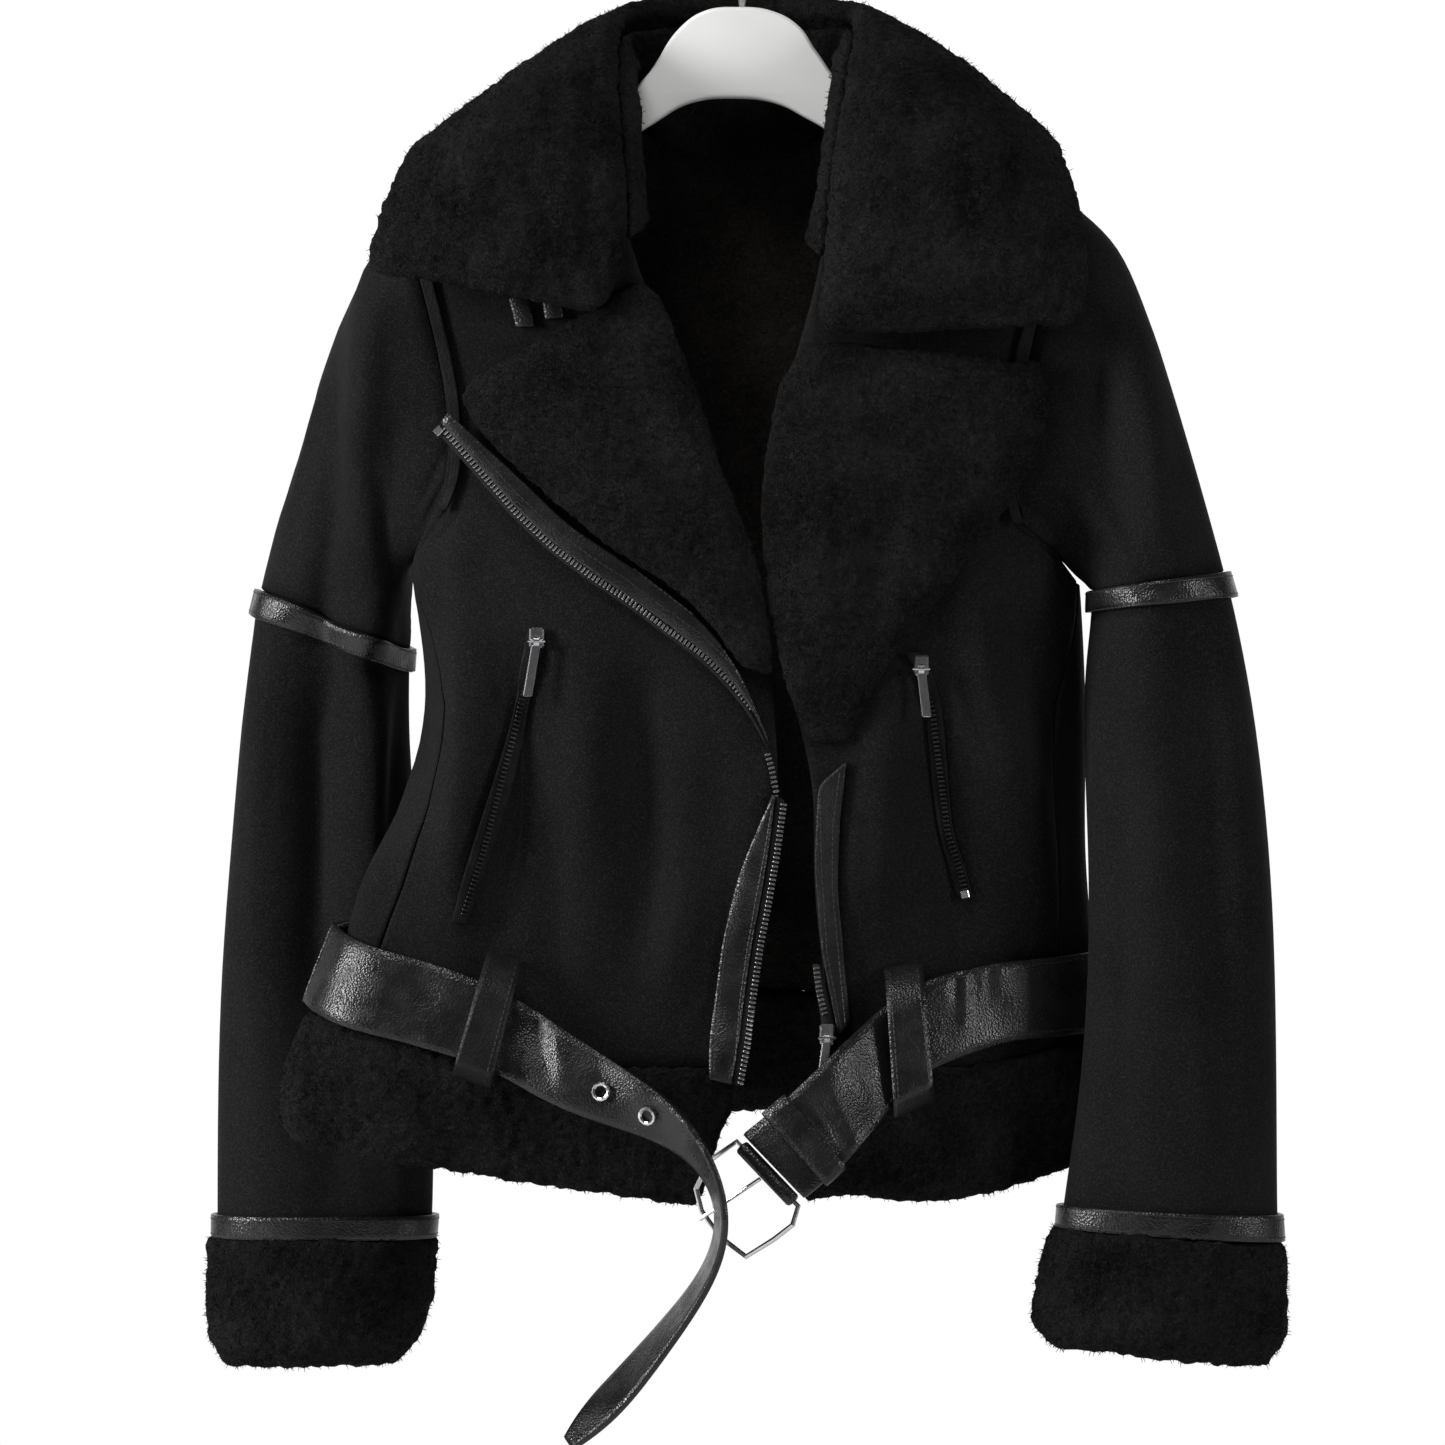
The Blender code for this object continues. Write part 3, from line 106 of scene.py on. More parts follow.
def blended(made, share, one, other):
    mix = add_node(made, "ShaderNodeMix", data_type="RGBA")
    join(made, share, mix.inputs[0])
    join(made, one, mix.inputs[6])
    join(made, other, mix.inputs[7])
    return mix.outputs[2]


def relief(made, shader, patterns):
    """Chains bumps, each a pattern with its strength and depth in metres, into the shader's normal."""
    before = None
    for value, strength, depth in patterns:
        bump = add_node(made, "ShaderNodeBump", {"Strength": strength, "Distance": depth})
        join(made, value, bump.inputs["Height"])
        if before:
            join(made, before, bump.inputs["Normal"])
        before = bump.outputs["Normal"]
    join(made, before, shader.inputs["Normal"])


# %% [markdown]
# ## The outer skin
# The wool side is inside and the skin side outside, buffed to a short nap. Such a nap has no gloss at all,
# but it glows a little where it is seen edge on, which is what Sheen is for. Its black is never even,
# because the dye takes more in some places, so a wide soft noise moves between two dark tones and a fine
# one speckles it.
# %% Nappa skin finish
def make_skin():
    made, shader, places = new_finish("buffed black skin", 0.80, Sheen_Weight=0.015, Sheen_Roughness=0.45,
                                      Specular_IOR_Level=0.07)
    wide = two_tones(made, pattern(made, places, 16, 4),
                     0.30, (0.0040, 0.0040, 0.0043), 0.72, (0.0115, 0.0115, 0.0122))
    speck = two_tones(made, pattern(made, places, 950, 2),
                      0.45, (0.0045, 0.0045, 0.0048), 0.66, (0.021, 0.021, 0.0222))
    join(made, blended(made, pattern(made, places, 340, 2), wide, speck), shader.inputs["Base Color"])
    relief(made, shader, [
        (pattern(made, places, 42, 4, 0.8), 0.35, 0.0022),
        (pattern(made, places, 190, 3), 0.25, 0.0006),
        (pattern(made, places, 1300, 2), 0.45, 0.00035),
    ])
    return made


skin = make_skin()
print("finish:", skin.name)

# %% [markdown]
# ## Clipped fur
# The fur is lamb's wool, combed straight and clipped to about a centimetre. Seen from arm's length it is a soft
# surface full of tiny dark gaps between locks. The shader makes the gaps with cells at two sizes, and the mesh
# gets real clumps and standing hair tips further on. The fine strand noise that bumps the fur also sets its
# colour, dark in the dips and light on the tops. That colour is painted shade between the locks and a painted
# highlight on them.
# %% Fur finishes
def make_fur(name, dark, light):
    made, shader, places = new_finish(name, 0.85, Sheen_Weight=0.012, Sheen_Roughness=0.5,
                                      Specular_IOR_Level=0.045)
    strand_relief_and_painted_light = pattern(made, places, 620, 4, 1.2)
    # Painted shade and highlight: the strand bump also colours the fur, darker in its dips and lighter on its
    # raised tops.
    tone = two_tones(made, strand_relief_and_painted_light, 0.40, dark, 0.66, light)
    wide = two_tones(made, pattern(made, places, 28, 3), 0.3, dark, 0.75, light)
    join(made, blended(made, pattern(made, places, 240, 2), tone, wide), shader.inputs["Base Color"])
    relief(made, shader, [
        (cells(made, places, 170, "SMOOTH_F1"), 1.0, 0.0045),
        (strand_relief_and_painted_light, 1.0, 0.0040),
        (pattern(made, places, 1500, 2), 0.6, 0.0010),
    ])
    return made


# Both furs get the painted shade and highlight of the strand colour.
fur = make_fur("clipped black fur, painted shade and highlight", (0.0014, 0.0014, 0.0015), (0.0270, 0.0270, 0.0285))
lining = make_fur("lining fur", (0.0090, 0.0080, 0.0073), (0.055, 0.048, 0.044))
print("finishes:", fur.name, lining.name)

# %% [markdown]
# ## Polished leather
# Belt, bands and strips are cut from a finished hide with a fine pebble grain. It shines, so roughness is
# low, and the light breaks up on the grain and on the shallow creases that wear puts in. The gloss varies,
# because polish wears off.
# %% Leather finish
def make_leather(name, grain, gloss, shine):
    made, shader, places = new_finish(name, gloss, Specular_IOR_Level=shine)
    tone = two_tones(made, pattern(made, places, 60, 4),
                     0.35, (0.0055, 0.0055, 0.006), 0.75, (0.013, 0.013, 0.014))
    join(made, tone, shader.inputs["Base Color"])
    worn = add_node(made, "ShaderNodeMapRange", {
        "From Min": 0.3, "From Max": 0.7, "To Min": gloss - 0.07, "To Max": gloss + 0.14,
    })
    join(made, pattern(made, places, 85, 4), worn.inputs["Value"])
    join(made, worn.outputs["Result"], shader.inputs["Roughness"])
    relief(made, shader, [
        (pattern(made, places, 38, 3, 1.0), 0.30, 0.0014),
        (cells(made, places, grain), 0.50, 0.00050),
        (pattern(made, places, 1900, 2), 0.25, 0.0001),
    ])
    return made


leather = make_leather("polished black leather", 820, 0.29, 0.50)
matt_leather = make_leather("worn black leather", 700, 0.44, 0.24)
dull_leather = make_leather("dull black leather", 700, 0.60, 0.08)
print("finishes:", leather.name, matt_leather.name, dull_leather.name)

# %% [markdown]
# ## Tape, metal, plastic and thread
# The zip's tape is a dense twill, so two crossed waves bump it. The metal parts are nickel plated and
# lightly scratched along their length. The hanger is white polystyrene, smooth with faint flow marks. The
# thread is a waxed black one.
# %% Small finishes
def make_tape():
    made, shader, places = new_finish("zip tape", 0.8, Sheen_Weight=0.03, Specular_IOR_Level=0.2)
    tone = two_tones(made, pattern(made, places, 300, 2), 0.3, (0.006, 0.006, 0.0065), 0.7, (0.014, 0.014, 0.015))
    join(made, tone, shader.inputs["Base Color"])
    weave = add_node(made, "ShaderNodeTexWave", {"Scale": 420.0, "Distortion": 0.4}, bands_direction="DIAGONAL")
    join(made, places, weave.inputs["Vector"])
    relief(made, shader, [
        (weave.outputs["Fac"], 0.5, 0.0003),
        (pattern(made, places, 1400, 2), 0.3, 0.0001),
    ])
    return made


def make_metal(name, light, roughness):
    made, shader, places = new_finish(name, roughness, metallic=1.0)
    tone = two_tones(made, pattern(made, places, 240, 3), 0.3, tuple(v * 0.8 for v in light), 0.7, light)
    join(made, tone, shader.inputs["Base Color"])
    scratch = pattern(made, places, 500, 3, 0.0, (6, 6, 0.4))
    rough = add_node(made, "ShaderNodeMapRange", {"To Min": roughness * 0.7, "To Max": roughness * 1.5})
    join(made, scratch, rough.inputs["Value"])
    join(made, rough.outputs["Result"], shader.inputs["Roughness"])
    relief(made, shader, [(scratch, 0.12, 0.0001)])
    return made


def make_plastic():
    made, shader, places = new_finish("white hanger plastic", 0.30)
    tone = two_tones(made, pattern(made, places, 18, 2), 0.3, (0.80, 0.80, 0.785), 0.7, (0.87, 0.87, 0.86))
    join(made, tone, shader.inputs["Base Color"])
    relief(made, shader, [
        (pattern(made, places, 30, 2), 0.1, 0.0006),
        (pattern(made, places, 900, 2), 0.06, 0.0001),
    ])
    return made


def make_thread():
    made, shader, places = new_finish("waxed black thread", 0.45)
    tone = two_tones(made, pattern(made, places, 800, 2), 0.3, (0.008, 0.008, 0.009), 0.7, (0.03, 0.03, 0.032))
    join(made, tone, shader.inputs["Base Color"])
    relief(made, shader, [(pattern(made, places, 2400, 1, 0.0, (1, 1, 0.3)), 0.4, 0.0001)])
    return made


tape = make_tape()
nickel = make_metal("nickel plate", (0.78, 0.78, 0.80), 0.20)
black_metal = make_metal("blackened brass", (0.035, 0.035, 0.037), 0.42)
plastic = make_plastic()
thread = make_thread()
print("finishes:", [m.name for m in (tape, nickel, black_metal, plastic, thread)])

# %% [markdown]
# ## From a solid to a soft shell
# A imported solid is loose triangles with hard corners. To make cloth of it we take a copy, merge its points,
# turn pairs of triangles back into quads, and smooth it with a Subdivision Surface. The cut edges are
# creased first, so that they stay where the seams are. The solid remains the form, and the creases that
# follow move the shell by a few millimetres, or about a centimetre in the deepest folds. Lengths in the
# tables are in millimetres, and Blender's own are in metres.
# %% Helpers for pieces
MM = 0.001
TO_MM = 1000
SAME_POINT = 0.00002  # metres
SHARP_EDGE = 0.9  # radians, from which a solid's edge counts as a cut edge


def finished(name, mesh, finish):
    made = bpy.data.objects.new(name, mesh)
    bpy.context.scene.collection.objects.link(made)
    mesh.materials.clear()
    mesh.materials.append(finish)
    return made


def as_mesh(shape, name):
    mesh = bpy.data.meshes.new(name)
    shape.to_mesh(mesh)
    shape.free()
    return mesh


def apply_modifiers(made):
    bpy.context.view_layer.update()
    graph = bpy.context.evaluated_depsgraph_get()
    mesh = bpy.data.meshes.new_from_object(made.evaluated_get(graph))
    old = made.data
    made.modifiers.clear()
    made.data = mesh
    bpy.data.meshes.remove(old)


def merged_copy(node):
    shape = bmesh.new()
    shape.from_mesh(solids[node].data)
    bmesh.ops.remove_doubles(shape, verts=shape.verts, dist=SAME_POINT)
    return shape


def soft_shell(node, finish, levels=2, hold=0.9):
    """A smooth copy of a solid. hold is how firmly its cut edges stay in place."""
    shape = merged_copy(node)
    bmesh.ops.join_triangles(shape, faces=shape.faces, angle_face_threshold=0.8, angle_shape_threshold=1.4)
    held = shape.edges.layers.float.new("crease_edge")
    for edge in shape.edges:
        if len(edge.link_faces) == 2 and edge.calc_face_angle() > SHARP_EDGE:
            edge[held] = hold
    made = finished(f"soft_{node}", as_mesh(shape, f"soft_{node}"), finish)
    smooth = made.modifiers.new("Smooth form", "SUBSURF")
    smooth.levels = smooth.render_levels = levels
    apply_modifiers(made)
    made.data.shade_smooth()
    return made


def points_of(made):
    """Points and normals of a mesh, the points in millimetres."""
    mesh = made.data
    count = len(mesh.vertices)
    places = np.empty(count * 3)
    mesh.vertices.foreach_get("co", places)
    facing = np.empty(count * 3)
    mesh.vertex_normals.foreach_get("vector", facing)
    return places.reshape(-1, 3) * TO_MM, facing.reshape(-1, 3)


def set_points(made, places):
    made.data.vertices.foreach_set("co", (places / TO_MM).ravel())
    made.data.update()


# %% [markdown]
# ## Where the cloth creases
# The creases are listed one by one, each as a line seen from the front or the back, with a half width and a
# height. A height below nothing is a valley. The same field moves every piece that lies there, so a band bends
# with the sleeve under it. Both faces of a shell move together, away from the middle of the body or the sleeve,
# so the wall keeps its thickness.
# %% Creases
CREASES_FRONT = (  # x, z at the top, x, z at the bottom, half width, height, in millimetres
    (-203, -206, -208, -300, 9, 5.5), (-210, -290, -206, -405, 9, 4.5), (-205, -396, -207, -560, 10, 4.5),
    (-188, -296, -188, -405, 8, -4.5), (-189, -396, -192, -540, 8, -3), (-229, -276, -232, -400, 11, -6),
    (-232, -392, -237, -620, 13, -6), (-268, -330, -274, -560, 11, 2.5), (-264, -560, -262, -720, 18, 2),
    (-224, -600, -226, -730, 16, -2.5),
    (-190, -640, -186, -735, 9, 2.5), (-222, -376, -200, -392, 5, -2), (-250, -640, -200, -700, 12, -1.5),
    (197, -225, 200, -310, 11, -4.5), (217, -250, 222, -360, 10, 2.5), (227, -400, 232, -700, 14, 2.5),
    (254, -390, 258, -640, 11, -2), (206, -400, 200, -700, 11, -2), (246, -560, 250, -705, 10, 2.2),
    (188, -330, 210, -366, 7, 3), (204, -372, 236, -384, 6, -1.5), (216, -640, 250, -680, 11, -1.6),
    (-148, -380, -150, -450, 13, 4), (-150, -440, -155, -557, 13, 5.5), (-121, -440, -134, -567, 9, -4.5),
    (-176, -396, -178, -500, 8, -4.5), (-172, -345, -166, -392, 8, 3),
    (-86, -425, -83, -520, 14, 3), (-57, -440, -52, -575, 11, -4), (-34, -545, -38, -600, 13, 4),
    (-104, -520, -100, -600, 10, -2.5), (-118, -590, -60, -610, 9, -1.8), (-14, -470, -10, -560, 9, -2.5),
    (78, -440, 69, -558, 15, 3.5), (98, -440, 121, -556, 8, -3), (119, -380, 130, -440, 12, 3.5),
    (128, -432, 162, -520, 13, 4.5), (162, -520, 164, -575, 12, 4), (146, -385, 160, -440, 10, -4.5),
    (155, -332, 168, -372, 8, 3), (96, -470, 88, -560, 9, -2.0), (56, -490, 57, -570, 7, 2.0),
    (-152, -345, -150, -375, 9, 3), (-160, -580, -120, -590, 8, -2),
)
CREASES_BACK = (
    (-214, -240, -222, -360, 10, 4), (-240, -280, -246, -400, 10, -5), (-236, -410, -240, -600, 13, -4),
    (-266, -340, -270, -560, 11, 2.5), (-205, -420, -206, -560, 10, 3), (-240, -620, -238, -730, 16, 2),
    (206, -240, 212, -340, 10, -4), (226, -260, 236, -370, 11, 3.5), (236, -400, 240, -650, 14, 3),
    (258, -400, 262, -620, 11, -2.5), (210, -420, 206, -690, 11, -2.5),
    (-120, -380, -132, -540, 13, 4), (-92, -410, -98, -560, 11, -4), (-52, -380, -48, -560, 14, 3),
    (-12, -420, -8, -560, 12, -3), (34, -390, 36, -560, 14, 3.5), (72, -420, 76, -570, 11, -4),
    (110, -380, 122, -540, 13, 4), (148, -400, 158, -560, 10, -3), (-150, -300, -120, -350, 11, -3),
    (140, -300, 112, -350, 11, -3), (-60, -205, -10, -225, 16, 2), (10, -230, 70, -205, 16, 2),
    (-140, -230, -156, -320, 9, 3), (128, -230, 146, -320, 9, 3), (-90, -560, 90, -566, 10, -2),
)


def crease_height(places, rows):
    """The height that a list of creases gives each place. Every crease fades towards its ends."""
    total = np.zeros(len(places))
    flat = places[:, (0, 2)]
    for x1, z1, x2, z2, half, height in rows:
        start, run = np.array((x1, z1), float), np.array((x2 - x1, z2 - z1), float)
        along = np.clip(((flat - start) @ run) / (run @ run), 0, 1)
        off = np.linalg.norm(flat - start - along[:, None] * run, axis=1)
        ends = 0.35 + 0.65 * np.sin(np.pi * np.clip(along, 0.04, 0.96))
        total += height * np.exp(-((off / half) ** 2)) * ends
    return total


LEVEL_STEP = 24.0  # millimetres between the levels at which a sleeve's middle is found


def centre_line(side):
    """Height, x and y of the middle of a sleeve from its cuff up."""
    places = np.concatenate([points_of(solids[f"sleeve_{part}_{side}"])[0] for part in ("upper", "lower")])
    level = np.digitize(places[:, 2], np.arange(-800, 0, LEVEL_STEP))
    rows = []
    for k in np.unique(level):
        chosen = places[level == k]
        low, high = chosen.min(axis=0), chosen.max(axis=0)
        rows.append((chosen[:, 2].mean(), (low[0] + high[0]) / 2, (low[1] + high[1]) / 2))
    return np.array(rows).T


CENTRES = {side: centre_line(side) for side in ("right", "left")}


def outward_at(places, facing, tube):
    """Each point's direction away from the middle, and whether it is on the outer face."""
    away = np.zeros_like(places)
    if tube:
        heights, xs, ys = CENTRES["left" if places[:, 0].mean() > 0 else "right"]
        away[:, 0] = places[:, 0] - np.interp(places[:, 2], heights, xs)
        away[:, 1] = places[:, 1] - np.interp(places[:, 2], heights, ys)
    else:
        away[:, :2] = places[:, :2] * (0.25, 1.0)
    away /= np.maximum(np.linalg.norm(away, axis=1, keepdims=True), 1e-6)
    return away, (facing * away).sum(axis=1) > 0


SWELLS = (  # side (-1 right), height, reach, the body's swelling, the sleeve's swelling, in millimetres
    (-1, -395, 62, 5.0, 6.0), (1, -420, 85, 8.5, 4.5),
)
CREASE_SHARE = 1.7  # what the listed heights are multiplied by
TURN_FADE = 1.6  # how fast a crease fades where the cloth turns to the side


def swelling(places, direction, tube):
    """How far body and sleeve bulge towards each other beside the hanging arm."""
    total = np.zeros(len(places))
    for side, height, reach, body, sleeve in SWELLS:
        towards = np.clip(direction[:, 0] * side * (-1 if tube else 1) * 1.4 - 0.1, 0, 1)
        near = np.exp(-(((places[:, 2] - height) / reach) ** 2)) * (places[:, 0] * side > 0)
        total += (sleeve if tube else body) * towards * near
    return total


def crease(made, tube=False):
    """Moves a piece by the creases and by the swelling of body and sleeve."""
    places, facing = points_of(made)
    direction, _ = outward_at(places, facing, tube)
    front = np.clip(-direction[:, 1] * TURN_FADE, 0, 1)
    back = np.clip(direction[:, 1] * TURN_FADE, 0, 1)
    height = crease_height(places, CREASES_FRONT) * front + crease_height(places, CREASES_BACK) * back
    moved = height * CREASE_SHARE + swelling(places, direction, tube)
    set_points(made, places + direction * moved[:, None])


CREASES_BELT = (
    (-116, -598, -104, -640, 4, -3.2), (-106, -612, -94, -652, 5, 2.4), (-88, -626, -70, -650, 6, -1.8),
    (-60, -640, -52, -664, 6, 1.6), (-18, -672, -34, -680, 5, -2.0), (-6, -720, -14, -722, 7, 2.0),
    (-40, -785, -30, -800, 8, -1.8), (118, -588, 116, -606, 3, -2.6), (127, -584, 125, -604, 3, -2.2),
    (136, -586, 132, -600, 3, -2.4), (122, -590, 120, -616, 3, 1.8), (58, -640, 70, -668, 5, -2.4),
    (46, -650, 60, -676, 4, 2.2), (36, -660, 50, -684, 4, -2.6), (-176, -580, -170, -612, 9, -1.6),
)


def crease_belt(made):
    places, _ = points_of(made)
    set_points(made, places - np.array((0, 1, 0)) * crease_height(places, CREASES_BELT)[:, None])


def wrinkle(made, size, height, seed):
    """A fine irregular ripple over a whole piece, the same on both faces of its wall."""
    places, facing = points_of(made)
    direction, _ = outward_at(places, facing, False)
    spot = [noise.noise(Vector(p) / size + Vector((seed, 0, 0))) for p in places]
    set_points(made, places + direction * (np.array(spot) * height)[:, None])


print("creases:", len(CREASES_FRONT), "in front,", len(CREASES_BACK), "behind")

# %% [markdown]
# ## Attaching the cloth
# Each piece hangs on the jacket's body, and the solid that it was made from is hidden. Its wall has two faces, so
# half of the solid's surface is its flat area, and the longest side of its box gives the length.
# %% Attach a piece
def half_surface(node):
    shape = merged_copy(node)
    total = sum(face.calc_area() for face in shape.faces)
    shape.free()
    return total / 2


def attach(made, node):
    area = half_surface(node)
    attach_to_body(made, "jacket")
    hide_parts(node)
    return made


# %% [markdown]
# ## Skin panels and sleeves
# Five panels make the body and two tubes each sleeve. Each becomes a soft shell with the creases in it. The
# inner face carries the lining fur, so its faces get a second finish: those that face the middle.
# %% Body and sleeves
def two_faced(made, tube, inside):
    """Gives the faces that look inwards the second finish."""
    made.data.materials.append(inside)
    places, facing = points_of(made)
    _, outer = outward_at(places, facing, tube)
    for face in made.data.polygons:
        if sum(outer[i] for i in face.vertices) * 2 < len(face.vertices):
            face.material_index = 1


skin_nodes = {  # what each hangs on
    "back": ["hanger"], "front_right": ["hanger"], "front_left": ["hanger"], "side_panel_right": ["back"],
    "side_panel_left": ["back"], "sleeve_upper_right": ["hanger"], "sleeve_upper_left": ["hanger"],
    "sleeve_lower_right": ["sleeve_upper_right"], "sleeve_lower_left": ["sleeve_upper_left"],
}
cloth = {}
for node, on in skin_nodes.items():
    tube = node.startswith("sleeve")
    made = soft_shell(node, skin)
    crease(made, tube)
    two_faced(made, tube, lining)
    cloth[node] = attach(made, node)
    print(node, len(made.data.polygons), "faces")

# %% [markdown]
# ## Shoulder strips
# On the shoulder the fronts are sewn to the back, and a narrow strip of the same skin is stitched over that
# seam so that it cannot stretch on the hanger. The solids leave the seam open, so the strip is made here: a
# flat grid is laid along the shoulder's slope, bowed over it, and given its thickness.
# %% Shoulder strips
SHOULDER_LINES = {  # x and z of the seam from the neck outwards, in millimetres
    "right": ((-66, -99.0), (-90, -110.0), (-120, -127.0), (-150, -143.0), (-171, -156.0)),
    "left": ((66, -101.5), (90, -114.0), (120, -132.0), (150, -148.0), (169, -159.4)),
}
STRIP_HALF = 12.0
STRIP_BOW = 2.6
STRIP_LIFT = 2.2
STRIP_THICKNESS = 0.0016


def shoulder_strip(side, line):
    shape = bmesh.new()
    bmesh.ops.create_grid(shape, x_segments=28, y_segments=10, size=1.0)
    points = np.array(line)
    steps = np.linspace(0, 1, len(points))
    for vert in shape.verts:
        along, across = (vert.co.x + 1) / 2, vert.co.y
        x, z = (float(np.interp(along, steps, points[:, k])) for k in (0, 1))
        height = z + STRIP_LIFT - STRIP_BOW * across * across
        vert.co = Vector((x, across * STRIP_HALF, height)) / TO_MM
    bmesh.ops.recalc_face_normals(shape, faces=shape.faces)
    made = finished(f"shoulder_strip_{side}", as_mesh(shape, f"shoulder_strip_{side}"), skin)
    wall = made.modifiers.new("Thickness", "SOLIDIFY")
    wall.thickness = STRIP_THICKNESS
    wall.offset = 0.0
    apply_modifiers(made)
    made.data.shade_smooth()
    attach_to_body(made, "jacket")
    return made


for side, line in SHOULDER_LINES.items():
    print(side, "strip:", len(shoulder_strip(side, line).data.polygons), "faces")

# %% [markdown]
# ## Fur pieces
# Collar, turned-out fronts, hem and cuffs show the wool. A plain smooth surface with a bump looks like felt, so
# the mesh itself gets clumps: a fine voxel remesh makes even faces, and two noises lift and sink them, more at
# the edges, which a pair of shears never leaves straight. The collar's own soft dents are listed like the
# creases.
# %% Fur bodies
FUR_DENTS = (
    (-148, -116, -174, -174, 5, -2.6), (-200, -184, -128, -186, 5, -2.4), (-98, -92, -112, -160, 7, -1.8),
    (-118, -150, -100, -200, 6, -2.0), (-86, -120, -84, -200, 5, -1.6), (-150, -140, -140, -200, 7, 1.6),
    (142, -104, 147, -186, 5, -2.6), (52, -160, 66, -196, 5, -2.2), (96, -100, 92, -190, 8, -1.8),
    (118, -150, 132, -214, 6, -1.6), (66, -120, 74, -170, 7, 1.6), (100, -225, 170, -232, 5, -1.8),
    (-120, -292, -70, -340, 7, -1.8), (-60, -270, -36, -340, 8, -1.6), (60, -290, 130, -300, 9, -1.6),
    (84, -310, 70, -400, 9, -1.8), (40, -300, 44, -400, 8, 1.5), (-240, -650, -236, -680, 8, 1.2),
)


WAVE, CLUMP, TUFT = 26, 9.0, 4.2  # widths of the three noises, in millimetres
WAVE_HEIGHT = 1.3
FUR_OUT = 0.7


def fur_body(node, voxel, clump, ragged, seed):
    made = finished(f"fur_{node}", as_mesh(merged_copy(node), f"fur_{node}"), fur)
    even = made.modifiers.new("Even faces", "REMESH")
    even.mode = "VOXEL"
    even.voxel_size = voxel * MM
    soft = made.modifiers.new("Soft edges", "SMOOTH")
    soft.factor = 0.5
    soft.iterations = 6
    apply_modifiers(made)
    made.data.shade_smooth()
    places, facing = points_of(made)
    lift = crease_height(places, FUR_DENTS) * np.clip(-facing[:, 1] * TURN_FADE, 0, 1)
    shift = Vector((seed * 7.3, 0, 0))
    for k, place in enumerate(places):
        spot = Vector(place)
        lift[k] += noise.noise(spot / WAVE + shift) * WAVE_HEIGHT
        lift[k] += (1 - 2 * abs(noise.noise(spot / CLUMP + shift))) * clump
        lift[k] += noise.noise(spot / TUFT + shift) * ragged
    set_points(made, places + facing * (lift + FUR_OUT)[:, None])
    return made


# %% [markdown]
# ## Standing hair
# What makes an outline furry is the single hairs that stand out of it. Each is a slim three-sided cone with
# a few faces, set on the fur at a random place and leaning. Thousands of them are one mesh, made by reading
# one template over and over, and the random places come from a fixed seed, so that every run gives the same
# coat.
# %% Hair tips
HAIR_LONG, HAIR_WIDE = 3.2, 0.32
HAIR_LEAN = 0.45
HAIR_DROOP = (0, 0, -0.25)
HAIR_ROOT = 0.6  # how deep each stands in the fur


def hair_template():
    shape = bmesh.new()
    bmesh.ops.create_cone(shape, cap_ends=True, segments=3, radius1=1.0, radius2=0.25, depth=1.0)
    bmesh.ops.translate(shape, verts=shape.verts, vec=(0, 0, 0.5))
    return as_mesh(shape, "hair")


def standing_hair(made, count, seed):
    """A mesh of cones on random places of a piece, each place as likely as its triangle is large."""
    rng = np.random.default_rng(seed)
    mesh = made.data
    mesh.calc_loop_triangles()
    corners = np.empty(len(mesh.loop_triangles) * 3, int)
    mesh.loop_triangles.foreach_get("vertices", corners)
    places, _ = points_of(made)
    a, b, c = (places[corners.reshape(-1, 3)[:, k]] for k in range(3))
    cross = np.cross(b - a, c - a)
    area = np.linalg.norm(cross, axis=1)
    chosen = rng.choice(len(area), size=count, p=area / area.sum())
    u, v = rng.random(count), rng.random(count)
    over = u + v > 1
    u[over], v[over] = 1 - u[over], 1 - v[over]
    roots = a[chosen] + (b - a)[chosen] * u[:, None] + (c - a)[chosen] * v[:, None]
    lean = rng.normal(0, HAIR_LEAN, (count, 3))
    up = cross[chosen] / area[chosen][:, None] + lean + np.array(HAIR_DROOP)
    up /= np.linalg.norm(up, axis=1, keepdims=True)
    side = np.cross(up, rng.normal(0, 1, (count, 3)))
    side /= np.linalg.norm(side, axis=1, keepdims=True)
    third = np.cross(up, side)
    length = HAIR_LONG * rng.uniform(0.5, 1.15, count)
    template = hair_template()
    cone = np.array([tuple(vert.co) for vert in template.vertices])
    shape = bmesh.new()
    for k in range(count):
        axes = np.stack([side[k] * HAIR_WIDE, third[k] * HAIR_WIDE, up[k] * length[k]])
        places = (cone @ axes + roots[k] - up[k] * HAIR_ROOT) / TO_MM
        template.vertices.foreach_set("co", places.ravel())
        shape.from_mesh(template)
    hair = as_mesh(shape, f"hair_{made.name}")
    bpy.data.meshes.remove(template)
    hair.shade_smooth()
    coat = finished(f"hair_{made.name}", hair, fur)
    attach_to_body(coat, "jacket")
    return coat


# %% [markdown]
# Each fur piece has its own size of face and number of hairs, so that the coat is equally dense on all of
# them.
# %% Make the fur pieces
fur_nodes = {  # face size, clump height, ragged height, hairs, what it hangs on
    "collar": (2.2, 0.8, 1.2, 8200, ["back"]),
    "collar_stand": (2.0, 0.5, 0.8, 1600, ["back"]),
    "revers_right": (2.0, 0.6, 0.9, 2600, ["front_right"]),
    "revers_left": (2.0, 0.6, 0.9, 3000, ["front_left"]),
    "hem_fur_back": (2.4, 0.9, 1.4, 3400, ["back"]),
    "hem_fur_right": (2.2, 0.9, 1.4, 2600, ["front_right"]),
    "hem_fur_left": (2.2, 0.9, 1.4, 2400, ["front_left"]),
    "cuff_right": (2.2, 0.9, 1.4, 3000, ["sleeve_lower_right"]),
    "cuff_left": (2.2, 0.9, 1.4, 3000, ["sleeve_lower_left"]),
}
for seed, (node, (voxel, clump, ragged, hairs, on)) in enumerate(fur_nodes.items()):
    made = fur_body(node, voxel, clump, ragged, seed)
    coat = standing_hair(made, hairs, seed)
    cloth[node] = attach(made, node)
    print(node, len(made.data.polygons), "faces and", hairs, "hairs")

